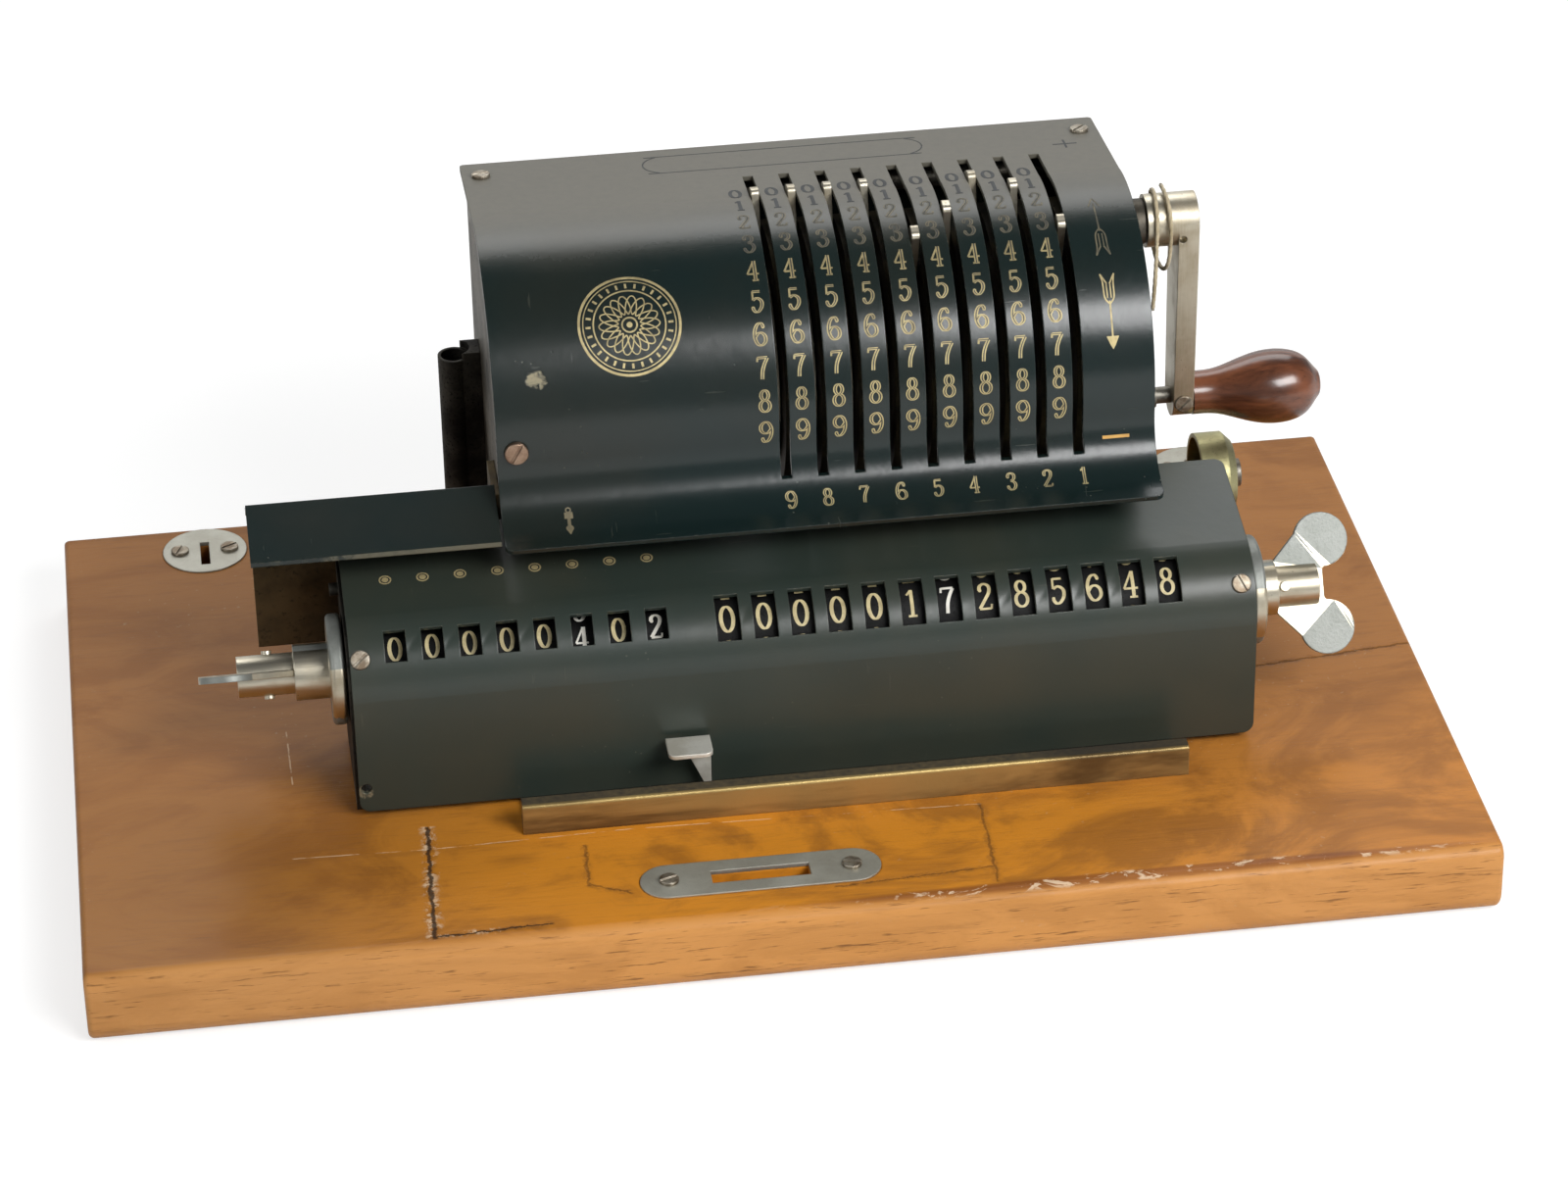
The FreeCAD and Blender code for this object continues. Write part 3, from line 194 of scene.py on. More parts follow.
nickelLook = {"colour": (0.57, 0.525, 0.42), "tarnish": (0.33, 0.255, 0.145), "bright": (0.70, 0.66, 0.55),
              "spot": (0.10, 0.08, 0.05), "pull": (40.0, 40.0, 2.0), "gloss": 0.30}


def nickel(name, look=nickelLook):
    f = Finish(name)
    brush = f.noise(60.0, 4.0, 0.65, at=f.scaled(*look["pull"]))
    stain = f.noise(70.0, 4.0, 0.6).between(0.42, 0.72)
    edge, rounded = f.edges(0.0004)
    spots = (1.0 - f.cells(520.0).between(0.06, 0.14)) * f.noise(120.0).between(0.5, 0.62)
    colour = f.mix(stain * 0.55, look["colour"], look["tarnish"])
    colour = f.mix(brush.between(0.35, 0.75) * 0.25, colour, look["bright"])
    colour = f.mix(edge * 0.3, colour, look["bright"])
    colour = f.mix(spots * 0.5, colour, look["spot"])
    rough = look["gloss"] + brush * 0.12 + stain * 0.12 + spots * 0.2
    normal = f.bump(brush * 0.6 - spots * 0.6, 0.12, 0.0004, rounded)
    return f.done({"Base Color": colour, "Roughness": rough, "Metallic": 1.0, "Normal": normal})


def agedMetal(name, bright, dark, gloss, scale, dirt=0.5, metal=0.9):
    f = Finish(name)
    patch = f.noise(scale, 5.0, 0.62, 0.3)
    fine = f.noise(scale * 14.0, 3.0, 0.6)
    edge, rounded = f.edges(0.0005)
    colour = f.mix(patch.between(0.36, 0.66), dark, bright)
    colour = f.mix(edge * 0.4, colour, [min(1.0, c * 1.4) for c in bright])
    grime = fine.between(0.55, 0.72) * dirt
    colour = f.mix(grime, colour, [c * 0.35 for c in dark])
    normal = f.bump(fine + patch * 0.5, 0.15, 0.0005, rounded)
    return f.done({"Base Color": colour, "Roughness": gloss + patch * 0.15 + grime * 0.25, "Metallic": metal,
                   "Normal": normal})


railLook = {"bronze": (0.48, 0.345, 0.135), "brown": (0.150, 0.100, 0.042), "top": (0.035, 0.030, 0.022),
            "edge": (0.62, 0.47, 0.24), "front": -0.0631, "height": 0.0297}


def railBronze(look=railLook):
    f = Finish("railBronze")
    streak = f.noise(30.0, 5.0, 0.65, 0.3, at=f.scaled(0.35, 1.0, 1.8))
    smear = f.noise(90.0, 4.0, 0.65, at=f.scaled(0.2, 1.0, 1.0))
    fine = f.noise(600.0, 3.0, 0.6)
    edge, rounded = f.edges(0.0006)
    colour = f.mix(streak.between(0.34, 0.62), look["brown"], look["bronze"])
    colour = f.mix(smear.between(0.55, 0.75) * 0.55, colour, look["brown"])
    behind = (f.axis("Y") - look["front"]).between(0.0, 0.0006)
    top = behind * f.axis("Z").between(look["height"] - 0.0004, look["height"])
    colour = f.mix(top * (0.75 + fine * 0.3), colour, look["top"])
    colour = f.mix(edge * (1.0 - top) * 0.55, colour, look["edge"])
    rough = 0.34 + streak * 0.12 + top * 0.35
    normal = f.bump(fine + streak * 0.5, 0.15, 0.0005, rounded)
    return f.done({"Base Color": colour, "Roughness": rough, "Metallic": 0.75 - top * 0.5, "Normal": normal})


# the middle, left, right and back colours are painted light and shade across the board's top
boardLook = {"paintedLightMiddle": (0.60, 0.225, 0.018), "left": (0.29, 0.118, 0.022), "right": (0.52, 0.200, 0.032),
             "back": (0.32, 0.132, 0.032), "nose": (0.56, 0.275, 0.095), "figure": (0.22, 0.080, 0.014),
             "dark": (0.110, 0.045, 0.016), "bite": (0.100, 0.052, 0.028), "pale": (0.80, 0.60, 0.40),
             "red": (0.16, 0.042, 0.014), "crack": (0.035, 0.020, 0.012), "dust": (0.50, 0.40, 0.27),
             "top": 0.0195}
# start, end and half width of each crack and seam in the board's top, in metres
boardCracks = [((-0.0945, -0.0560), (-0.0958, -0.0833), 0.0008),
               ((-0.0958, -0.0833), (-0.0967, -0.1075), 0.0009),
               ((-0.0967, -0.1070), (-0.0660, -0.1060), 0.0005),
               ((0.1380, -0.0130), (0.1650, -0.0101), 0.0006),
               ((0.1650, -0.0101), (0.1888, -0.0072), 0.0007),
               ((-0.0537, -0.0713), (-0.0544, -0.0898), 0.0005),
               ((-0.0544, -0.0898), (-0.0440, -0.0950), 0.0005),
               ((0.0538, -0.0686), (0.0524, -0.1050), 0.0005),
               ((0.0100, -0.1010), (0.0525, -0.0985), 0.0004)]
boardScratches = [((-0.1306, -0.0650), (-0.0939, -0.0664), 0.0003),
                  ((-0.0939, -0.0664), (-0.0410, -0.0653), 0.0003),
                  ((-0.0410, -0.0653), (0.0535, -0.0686), 0.0003),
                  ((-0.1293, 0.0015), (-0.1291, -0.0284), 0.0003)]


def boardLines(f, lines, spread, rag, shift):
    # 1 on each line, falling to 0 at its half width times the spread
    x, y = f.axis("X"), f.axis("Y")
    jag = (f.noise(240.0, 4.0, 0.7, at=f.scaled(1.0, 1.0, 0.0, (shift, 0.0, 0.0))) - 0.5) * rag
    found = None
    for start, end, width in lines:
        run = Vector(end) - Vector(start)
        length = run.length
        run = run / length
        fromX, fromY = x - start[0], y - start[1]
        off = abs(fromY * run.x - fromX * run.y + jag)
        way = fromX * run.x + fromY * run.y
        inside = way.between(-0.001, 0.0) * (1.0 - way.between(length, length + 0.001))
        line = (1.0 - off.between(width * 0.3, width * spread)) * inside
        found = line if found is None else found.most(line)
    return found * f.axis("Z").between(boardLook["top"] - 0.0006, boardLook["top"])


def boardVarnish(look=boardLook):
    f = Finish("boardVarnish")
    x, y = f.axis("X"), f.axis("Y")
    drift = f.noise(10.0, 4.0, 0.6) - 0.5
    figure = f.noise(9.0, 6.0, 0.62, 1.8, at=f.scaled(1.6, 2.6, 4.0))
    fibre = f.noise(60.0, 5.0, 0.65, 0.5, at=f.scaled(0.9, 6.0, 9.0, (0.4, 0.2, 0.1)))
    pore = f.noise(240.0, 3.0, 0.7, at=f.scaled(0.35, 5.0, 5.0))
    # painted light and shade: the varnish glows in front of the middle as a painted pool of light; the ends
    # and the back are greyer, with the left end and the back darkest as painted shade
    colour = f.mix((x + drift * 0.10).between(-0.175, -0.035), look["left"], look["paintedLightMiddle"])
    colour = f.mix((x + drift * 0.08).between(0.055, 0.160), colour, look["right"])
    colour = f.mix((y + drift * 0.08).between(-0.080, 0.030) * 0.85, colour, look["back"])
    front = (-0.1075 - y).between(0.0, 0.003)
    colour = f.mix(front * 0.75, colour, look["nose"])
    colour = f.mix(figure.between(0.43, 0.64) * (0.62 - front * 0.40), colour, look["figure"])
    colour = f.mix(fibre.between(0.52, 0.76) * 0.24, colour, look["dark"])
    colour = f.mix(pore.between(0.58, 0.72) * (0.20 + front * 0.55), colour, look["dark"])
    edge, rounded = f.edges(0.0010)
    chip = edge * f.noise(230.0, 4.0, 0.7).between(0.50, 0.62)
    # along the right half of the front ridge a dark red line is painted, with pale flecks that are partly
    # chips in the varnish and partly painted glints
    along = f.near((0.09, -0.1082, 0.019), (0.130, 0.0030, 0.010)).between(0.0, 0.5)
    ridge = along * f.noise(210.0, 4.0, 0.7, 0.5, at=f.scaled(0.5, 1.0, 1.0)).between(0.56, 0.62)
    colour = f.mix(chip * 0.7, colour, look["bite"])
    colour = f.mix(along * 0.6, colour, look["red"])
    colour = f.mix(ridge * 0.75, colour, look["pale"])
    crack = boardLines(f, boardCracks, 1.0, 0.0030, 0.0)
    fuzz = boardLines(f, boardCracks, 3.4, 0.0040, 0.3) * f.noise(320.0, 3.0, 0.7).between(0.36, 0.62)
    pale = boardLines(f, boardScratches, 1.0, 0.0006, 0.6) * f.noise(130.0, 3.0, 0.7).between(0.40, 0.56)
    colour = f.mix(pale * 0.5, colour, look["pale"])
    colour = f.mix(fuzz * 0.40, colour, look["dark"])
    # raw splinters beside the left crack, and softer seams to the right of it
    splinter = fuzz * (1.0 - (x + 0.08).between(0.0, 0.001)) * f.noise(400.0, 3.0, 0.7).between(0.48, 0.56)
    colour = f.mix(splinter * 0.7, colour, look["pale"])
    colour = f.mix(crack * (0.9 - (x + 0.06).between(0.0, 0.002) * 0.45), colour, look["crack"])
    dust = f.noise(520.0, 2.0).between(0.66, 0.74) * f.noise(20.0, 2.0).between(0.5, 0.7)
    colour = f.mix(dust * 0.3, colour, look["dust"])
    rough = 0.30 + figure * 0.12 + crack * 0.4 + chip * 0.25 - ridge * 0.1
    height = figure * 0.5 - pore * 0.7 + fibre * 0.3
    height = height - crack * 5.0 - fuzz - chip * 2.0 - ridge * 1.5 - pale * 0.8
    return f.done({"Base Color": colour, "Roughness": rough, "Specular IOR Level": 0.12, "Coat Weight": 0.06,
                   "Coat Roughness": 0.14, "Normal": f.bump(height, 0.24, 0.0007, rounded)})


gripLook = {"light": (0.190, 0.062, 0.026), "dark": (0.052, 0.018, 0.009), "pore": (0.026, 0.010, 0.006)}


def gripVarnish(look=gripLook):
    f = Finish("gripVarnish")
    swirl = f.noise(26.0, 5.0, 0.6, 1.2, at=f.scaled(0.8, 4.0, 4.0))
    pore = f.noise(240.0, 3.0, 0.7, at=f.scaled(0.5, 5.0, 5.0))
    colour = f.mix(swirl.between(0.32, 0.70), look["dark"], look["light"])
    colour = f.mix(pore.between(0.58, 0.74) * 0.6, colour, look["pore"])
    normal = f.bump(pore * -0.4 + swirl * 0.4, 0.10, 0.0004)
    return f.done({"Base Color": colour, "Roughness": 0.20 + swirl * 0.10, "Normal": normal,
                   "Coat Weight": 0.35, "Coat Roughness": 0.16})


def inlay(name, bright, dark, worn=0.0, metal=0.35):
    f = Finish(name)
    patch = f.noise(330.0, 3.0, 0.65)
    # darker towards the top of the casing, by the share given as worn
    high = f.axis("Z").between(0.122, 0.152) * worn
    cloud = f.noise(40.0, 3.0, 0.6).between(0.45, 0.7)
    colour = f.mix((patch.between(0.38, 0.66) * 0.5 + cloud * 0.3 + high).least(1.0), bright, dark)
    return f.done({"Base Color": colour, "Roughness": 0.42 + patch * 0.2, "Metallic": metal,
                   "Normal": f.bump(patch, 0.15, 0.0003)})


stringLook = {"cotton": (0.56, 0.47, 0.31), "stain": (0.32, 0.25, 0.14), "fluff": (0.74, 0.67, 0.50)}


def cotton(look=stringLook):
    f = Finish("stringCotton")
    fuzz = f.noise(1500.0, 3.0, 0.7)
    stain = f.noise(90.0, 3.0, 0.6)
    colour = f.mix(stain.between(0.35, 0.75), look["cotton"], look["stain"])
    colour = f.mix(fuzz.between(0.5, 0.8) * 0.3, colour, look["fluff"])
    normal = f.bump(fuzz, 0.35, 0.0003)
    return f.done({"Base Color": colour, "Roughness": 0.78 + fuzz * 0.15, "Normal": normal,
                   "Sheen Weight": 0.3})


finishes = {
    "casingLacquer": lacquer("casingLacquer", casingLook),
    "carriageLacquer": lacquer("carriageLacquer", carriageLook),
    "extensionLacquer": lacquer("extensionLacquer", extensionLook),
    "lacquer": lacquer("blackLacquer"),
    "nickel": nickel("satinNickel"),
    "nickelTurned": nickel("turnedNickel", dict(nickelLook, pull=(2.0, 40.0, 40.0), gloss=0.27)),
    # the release lever takes a pale, half matt copy of nickel: painted light on a tab that sits in shade
    "silver": agedMetal("releaseNickel", (0.70, 0.68, 0.61), (0.54, 0.51, 0.43), 0.32, 80.0,
                        dirt=0.1, metal=0.5),
    "keeperSteel": agedMetal("keeperSteel", (0.43, 0.42, 0.36), (0.35, 0.335, 0.28), 0.36, 70.0,
                             dirt=0.12, metal=0.6),
    "wingGrey": agedMetal("wingPlateMetal", (0.27, 0.28, 0.26), (0.21, 0.22, 0.20), 0.42, 90.0,
                          dirt=0.12, metal=0.6),
    "screwMetal": agedMetal("screwMetal", (0.42, 0.38, 0.31), (0.16, 0.12, 0.08), 0.34, 260.0),
    "copperScrew": agedMetal("copperScrew", (0.40, 0.28, 0.20), (0.20, 0.12, 0.08), 0.30, 200.0, dirt=0.3),
    "railBronze": railBronze(),
    "backBronze": agedMetal("backPlateBronze", (0.12, 0.088, 0.045), (0.036, 0.028, 0.018), 0.5, 40.0),
    "steel": agedMetal("dullSteel", (0.30, 0.285, 0.25), (0.12, 0.105, 0.08), 0.4, 70.0),
    "plateSteel": agedMetal("sidePlateSteel", (0.15, 0.135, 0.11), (0.055, 0.048, 0.036), 0.44, 60.0),
    "bellMetal": agedMetal("bellMetal", (0.43, 0.40, 0.215), (0.27, 0.245, 0.125), 0.38, 80.0, dirt=0.3),
    "darkSheet": agedMetal("darkSheet", (0.060, 0.055, 0.045), (0.020, 0.018, 0.016), 0.55, 90.0, dirt=0.8),
    "oiled": agedMetal("oiledBrass", (0.050, 0.040, 0.020), (0.014, 0.012, 0.008), 0.45, 80.0),
    "wheelBlack": agedMetal("wheelBlack", (0.020, 0.020, 0.020), (0.010, 0.010, 0.010), 0.5, 120.0),
    "board": boardVarnish(),
    "grip": gripVarnish(),
    "string": cotton(),
    "gold": inlay("goldInlay", (0.54, 0.44, 0.22), (0.25, 0.20, 0.10), 0.45),
    "faded": inlay("fadedInlay", (0.26, 0.215, 0.125), (0.085, 0.078, 0.055), 0.6),
    "orange": inlay("orangeInlay", (0.62, 0.36, 0.10), (0.40, 0.22, 0.06)),
    "groove": inlay("grooveBlack", (0.012, 0.016, 0.018), (0.006, 0.008, 0.009), 0.0, 0.0),
    "cream": inlay("creamInlay", (0.66, 0.56, 0.30), (0.34, 0.26, 0.12), 0.0, 0.0),
    "white": inlay("whiteInlay", (0.82, 0.80, 0.72), (0.60, 0.56, 0.46), 0.0, 0.0),
}
nodeFinishes = {"board": "board", "keeper_plates": "keeperSteel", "plate_screws": "screwMetal",
                "bed_plate": "darkSheet", "front_rail": "railBronze", "casing": "casingLacquer",
                "side_plates": "plateSteel", "cross_rods": "steel", "rear_cover": "lacquer",
                "crank_bush": "plateSteel", "bell": "bellMetal", "rear_tube": "darkSheet",
                "extension_cover": "extensionLacquer", "extension_back": "backBronze",
                "drum_shaft": "oiled", "pinwheels": "oiled", "crank_shaft": "steel", "crank_arm": "nickel",
                "crank_screw": "screwMetal", "tag_string": "string", "lock_pin": "steel", "grip": "grip",
                "carriage_cover": "carriageLacquer", "carriage_screws": "screwMetal",
                "carriage_ends": "darkSheet", "carriage_bar": "steel", "transfer_gears": "oiled",
                "wing_nut_right": "nickelTurned", "wing_nut_left": "nickelTurned", "release_lever": "silver"}
for nodeName, piece in nodes.items():
    kind = nodeFinishes.get(nodeName, "nickel" if nodeName.startswith("setting") else "wheelBlack")
    piece.data.materials.clear()
    piece.data.materials.append(finishes[kind])
    for polygon in piece.data.polygons:
        polygon.use_smooth = True


def secondFinish(nodeName, kind, chosen):
    # the faces of a node that the chosen test picks take another finish
    piece = nodes[nodeName]
    piece.data.materials.append(finishes[kind])
    for polygon in piece.data.polygons:
        if chosen(piece.matrix_world @ polygon.center):
            polygon.material_index = 1


# the wing plates reach past their hub; the domed screw is the one on the casing's front, in metres
wingHub = {"middle": 0.058, "radius": 0.0075}
domedScrew = {"low": 0.05, "high": 0.14, "back": 0.0}


def onWing(place):
    return abs(place.z - wingHub["middle"]) > wingHub["radius"]


def onDomedScrew(place):
    return domedScrew["low"] < place.z < domedScrew["high"] and place.y < domedScrew["back"]


secondFinish("wing_nut_right", "wingGrey", onWing)
secondFinish("wing_nut_left", "wingGrey", onWing)
secondFinish("plate_screws", "copperScrew", onDomedScrew)
print("finishes made:", len(finishes))

# the casing's section and the register shaft, in mm and degrees
drum = {"y": 30.4, "z": 110.0, "radius": 45.2, "crease": -12.0, "flareStart": 93.0, "flareRadius": 16.0,
        "topBack": (80.8, 149.8)}
shaft = {"y": -30.5, "z": 58.0}


def onCircle(y, z, radius, degrees):
    turn = math.radians(degrees)
    return y - radius * math.sin(turn), z + radius * math.cos(turn)


creasePoint = onCircle(drum["y"], drum["z"], drum["radius"], drum["crease"])
topRun = Vector((drum["topBack"][0] - creasePoint[0], drum["topBack"][1] - creasePoint[1])).normalized()
flareCentre = onCircle(drum["y"], drum["z"], drum["radius"] + drum["flareRadius"], drum["flareStart"])
drumRun = drum["radius"] * math.radians(drum["flareStart"] - drum["crease"])


def casingPlace(x, s, lift):
    # s is the way along the sheet from the crease, towards the front
    if s < 0:
        y = creasePoint[0] - topRun.x * s - topRun.y * lift
        z = creasePoint[1] - topRun.y * s + topRun.x * lift
    elif s < drumRun:
        degrees = drum["crease"] + math.degrees(s / drum["radius"])
        y, z = onCircle(drum["y"], drum["z"], drum["radius"] + lift, degrees)
    else:
        turn = math.radians(drum["flareStart"] - 90.0) - (s - drumRun) / drum["flareRadius"]
        reach = drum["flareRadius"] - lift
        y, z = flareCentre[0] + reach * math.cos(turn), flareCentre[1] + reach * math.sin(turn)
    return Vector((x, y, z)) * mm


def alongDrum(degrees):
    return drum["radius"] * math.radians(degrees - drum["crease"])


def smooth(points, closed=False, steps=7):
    # an even curve through the points
    points = [Vector(p) for p in points]
    count = len(points)
    found = []
    for i in range(count if closed else count - 1):
        if closed:
            a, b, c, d = (points[(i + k - 1) % count] for k in range(4))
        else:
            a, b, c, d = (points[min(max(i + k - 1, 0), count - 1)] for k in range(4))
        for k in range(steps):
            t = k / steps
            found.append(0.5 * ((2 * b) + (c - a) * t + (2 * a - 5 * b + 4 * c - d) * t * t
                                + (3 * b - a - 3 * c + d) * t ** 3))
    if not closed:
        found.append(points[-1])
    return found


def divided(points, step=1.0):
    # straight runs in short pieces, so that they follow a curved surface
    found = []
    for a, b in zip(points, points[1:]):
        a, b = Vector(a), Vector(b)
        count = max(1, math.ceil((b - a).length / step))
        found.extend(a.lerp(b, k / count) for k in range(count))
    return found + [Vector(points[-1])]


# how far an inlay stands out of its surface and reaches into it, in mm, and how fast strokes thicken
inlayLook = {"top": 0.04, "bottom": -0.25, "swell": 1.3}


class Inlay:
    # thin solids let into a surface, drawn flat and then laid on it by the place function
    def __init__(self, name, materials):
        self.name, self.materials = name, materials
        self.points, self.faces, self.slots = [], [], []

    def prism(self, rings, place, slot, closed, top, bottom):
        start = len(self.points)
        for left, right in rings:
            for corner, lift in ((left, top), (right, top), (right, bottom), (left, bottom)):
                self.points.append(place(corner[0], corner[1], lift))
        count = len(rings)
        for i in range(count if closed else count - 1):
            a, b = start + 4 * i, start + 4 * ((i + 1) % count)
            for k in range(4):
                self.addFace((a + k, a + (k + 1) % 4, b + (k + 1) % 4, b + k), slot)
        if not closed:
            self.addFace((start, start + 3, start + 2, start + 1), slot)
            end = start + 4 * (count - 1)
            self.addFace((end, end + 1, end + 2, end + 3), slot)

    def addFace(self, corners, slot):
        self.faces.append(corners)
        self.slots.append(slot)

    def stroke(self, points, place, thin, thick=None, closed=False, slot=0, top=inlayLook["top"],
               bottom=inlayLook["bottom"], curved=True):
        path = smooth(points, closed) if curved and len(points) > 2 else divided(points)
        count = len(path)
        rings = []
        for i, here in enumerate(path):
            back = path[i - 1] if closed or i > 0 else here
            ahead = path[(i + 1) % count] if closed or i < count - 1 else here
            way = (ahead - back).normalized()
            width = thin if thick is None else thin + (thick - thin) * abs(way.y) ** inlayLook["swell"]
            side = Vector((-way.y, way.x)) * width / 2
            rings.append((here + side, here - side))
        self.prism(rings, place, slot, closed, top, bottom)

    def plate(self, points, place, slot=0, top=inlayLook["top"], bottom=inlayLook["bottom"]):
        start, count = len(self.points), len(points)
        for lift in (top, bottom):
            for u, v in points:
                self.points.append(place(u, v, lift))
        self.addFace(tuple(range(start, start + count)), slot)
        self.addFace(tuple(reversed(range(start + count, start + 2 * count))), slot)
        for i in range(count):
            j = (i + 1) % count
            self.addFace((start + j, start + i, start + count + i, start + count + j), slot)

    def dot(self, u, v, radius, place, slot=0, top=inlayLook["top"], bottom=inlayLook["bottom"]):
        self.plate(ring(u, v, radius, radius, 14), place, slot, top, bottom)

    def make(self, body):
        mesh = bpy.data.meshes.new(self.name)
        mesh.from_pydata([tuple(p) for p in self.points], [], self.faces)
        for material in self.materials:
            mesh.materials.append(material)
        for polygon, slot in zip(mesh.polygons, self.slots):
            polygon.material_index = slot
        mesh.validate()
        piece = bpy.data.objects.new(self.name, mesh)
        bpy.context.scene.collection.objects.link(piece)
        fixNormals(piece)
        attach(piece, body)
        return piece


def fixNormals(piece):
    work = bmesh.new()
    work.from_mesh(piece.data)
    bmesh.ops.recalc_face_normals(work, faces=work.faces)
    work.to_mesh(piece.data)
    work.free()


def ring(u, v, ru, rv, count=10):
    turns = [k * math.tau / count for k in range(count)]
    return [(u + ru * math.cos(turn), v + rv * math.sin(turn)) for turn in turns]


# numerals in a box one high: closed loops, curves, straight lines and round ends
sixCurve = [(.15, .30), (.07, .44), (-.09, .39), (-.21, .14), (-.22, -.18), (-.11, -.42), (.05, -.46),
            (.20, -.32), (.20, -.10), (.07, .04), (-.09, .02), (-.20, -.12)]
numerals = {
    0: {"loops": [ring(0, 0, .21, .44)]},
    1: {"lines": [[(.02, .47), (.02, -.47)], [(.02, .46), (-.14, .28)], [(-.13, -.46), (.17, -.46)]]},
    2: {"curves": [[(-.16, .22), (-.13, .38), (.02, .46), (.17, .36), (.16, .14), (.0, -.12), (-.2, -.42)]],
        "lines": [[(-.2, -.43), (.2, -.43)], [(.2, -.44), (.22, -.28)]], "ends": [(-.14, .22)], "bar": .10},
    3: {"curves": [[(-.16, .26), (-.10, .41), (.04, .46), (.17, .34), (.14, .14), (-.02, .05)],
                   [(-.02, .05), (.16, -.04), (.21, -.24), (.10, -.43), (-.06, -.46), (-.19, -.30)]],
        "ends": [(-.14, .26), (-.17, -.28)]},
    4: {"lines": [[(.08, .47), (.08, -.47)], [(.07, .46), (-.24, -.16)], [(-.24, -.16), (.24, -.16)],
                  [(-.06, -.46), (.21, -.46)]]},
    5: {"curves": [[(-.15, .05), (.02, .13), (.19, .0), (.19, -.24), (.05, -.44), (-.09, -.45),
                    (-.19, -.30)]],
        "lines": [[(-.14, .42), (.17, .42)], [(-.14, .44), (-.16, .05)]], "ends": [(-.17, -.29)], "bar": .11},
    6: {"curves": [sixCurve], "ends": [(.14, .30)]},
    7: {"curves": [[(.21, .41), (.07, .14), (-.02, -.14), (-.05, -.47)]],
        "lines": [[(-.20, .42), (.21, .42)], [(-.20, .44), (-.22, .26)]], "bar": .11},
    8: {"loops": [ring(0, .245, .15, .205), ring(0, -.215, .20, .245)]},
    9: {"curves": [[(-u, -v) for u, v in sixCurve]], "ends": [(-.14, -.30)]},
}


# the bars are drawn for a full stroke of this width; an end is a dot that wide at its radius
numeralLook = {"full": 0.16, "bar": 0.06, "end": 0.48}


def numeral(piece, digit, size, place, thin, thick, slot=0, top=inlayLook["top"], bottom=inlayLook["bottom"]):
    shape = numerals[digit]

    def sized(points):
        return [(u * size, v * size) for u, v in points]

    for loop in shape.get("loops", []):
        piece.stroke(sized(loop), place, thin * size, thick * size, True, slot, top, bottom)
    for curve in shape.get("curves", []):
        piece.stroke(sized(curve), place, thin * size, thick * size, False, slot, top, bottom)
    for i, straight in enumerate(shape.get("lines", [])):
        flat = abs(straight[0][1] - straight[1][1]) < 0.05
        bar = shape.get("bar", numeralLook["bar"]) * thick / numeralLook["full"] if flat and i == 0 else thin
        full = thick if not flat and i == 0 else bar
        piece.stroke(sized(straight), place, full * size, None, False, slot, top, bottom)
    for u, v in shape.get("ends", []):
        piece.dot(u * size, v * size, numeralLook["end"] * thick * size, place, slot, top, bottom)


casingMarks = {"digit": 6.5, "offset": -5.1, "firstSlot": 9.7, "pitch": 10.0, "zero": -14.7, "step": 11.5,
               "skirtDigit": 5.4, "skirtWay": 16.7, "skirtOffset": 0.5, "strokes": (0.078, 0.155),
               "grooves": (0.004, 0.05), "grooveTop": 0.052, "grooveBottom": -0.2}
marks = Inlay("casingInlay", [finishes[kind] for kind in ("gold", "groove", "orange", "faded")])
gilt, dark, orange, faded = range(4)


def cutNumeral(digit, size, cx, s0, kind=gilt):
    # a gilt numeral with a dark line down its thick strokes
    def place(u, v, lift):
        return casingPlace(cx + u, s0 - v, lift)

    numeral(marks, digit, size, place, *casingMarks["strokes"], kind)
    numeral(marks, digit, size, place, *casingMarks["grooves"], dark, casingMarks["grooveTop"],
            casingMarks["grooveBottom"])


for column in range(9):
    slotX = casingMarks["firstSlot"] + column * casingMarks["pitch"]
    for digit in range(10):
        s0 = alongDrum(casingMarks["zero"] + casingMarks["step"] * digit)
        kind = dark if digit < 2 else faded if digit < 4 else gilt
        cutNumeral(digit, casingMarks["digit"], slotX + casingMarks["offset"], s0, kind)
    cutNumeral(9 - column, casingMarks["skirtDigit"], slotX + casingMarks["skirtOffset"],
               drumRun + casingMarks["skirtWay"])

# places along the drum in degrees, sizes in mm
signs = {"x": 99.8, "upTip": 10.5, "upTail": 36.0, "downTip": 69.0, "downTail": 43.0, "line": 0.42,
         "minus": 101.3, "minusRun": (-3.4, 4.0), "minusLine": 0.9, "minusTop": 0.06,
         "plus": [[(-3.4, -21.5), (3.4, -21.5)], [(0, -24.6), (0, -18.4)]], "plusLine": 0.6}
# ways from the tip for the shaft and the barb, and from the tail for the end of the shaft and the vanes
arrowShape = {"shaft": (2.2, 7.6), "barb": (1.5, 3.4), "vane": [(0, 8.4), (1.25, 6.6), (1.45, 2.4), (1.9, 0)],
              "notch": [(1.9, 0), (0.4, 2.8)], "rib": [(0.5, 2.6), (0.5, 6.8)], "ribShare": 0.8}


def signPlace(u, v, lift):
    return casingPlace(signs["x"] + u, v, lift)


def arrow(tip, tail, kind=gilt):
    way = 1 if tail > tip else -1
    line = signs["line"]
    near, far = arrowShape["shaft"]
    half, back = arrowShape["barb"]
    marks.stroke([(0, tip + way * near), (0, tail - way * far)], signPlace, line, slot=kind)
    barb = [(-half, tip + way * back), (0, tip), (half, tip + way * back)]
    marks.stroke(barb, signPlace, line, slot=kind, curved=False)
    for side in (-1, 1):
        for part, width in (("vane", line), ("notch", line), ("rib", line * arrowShape["ribShare"])):
            points = [(side * u, tail - way * v) for u, v in arrowShape[part]]
            marks.stroke(points, signPlace, width, slot=kind)


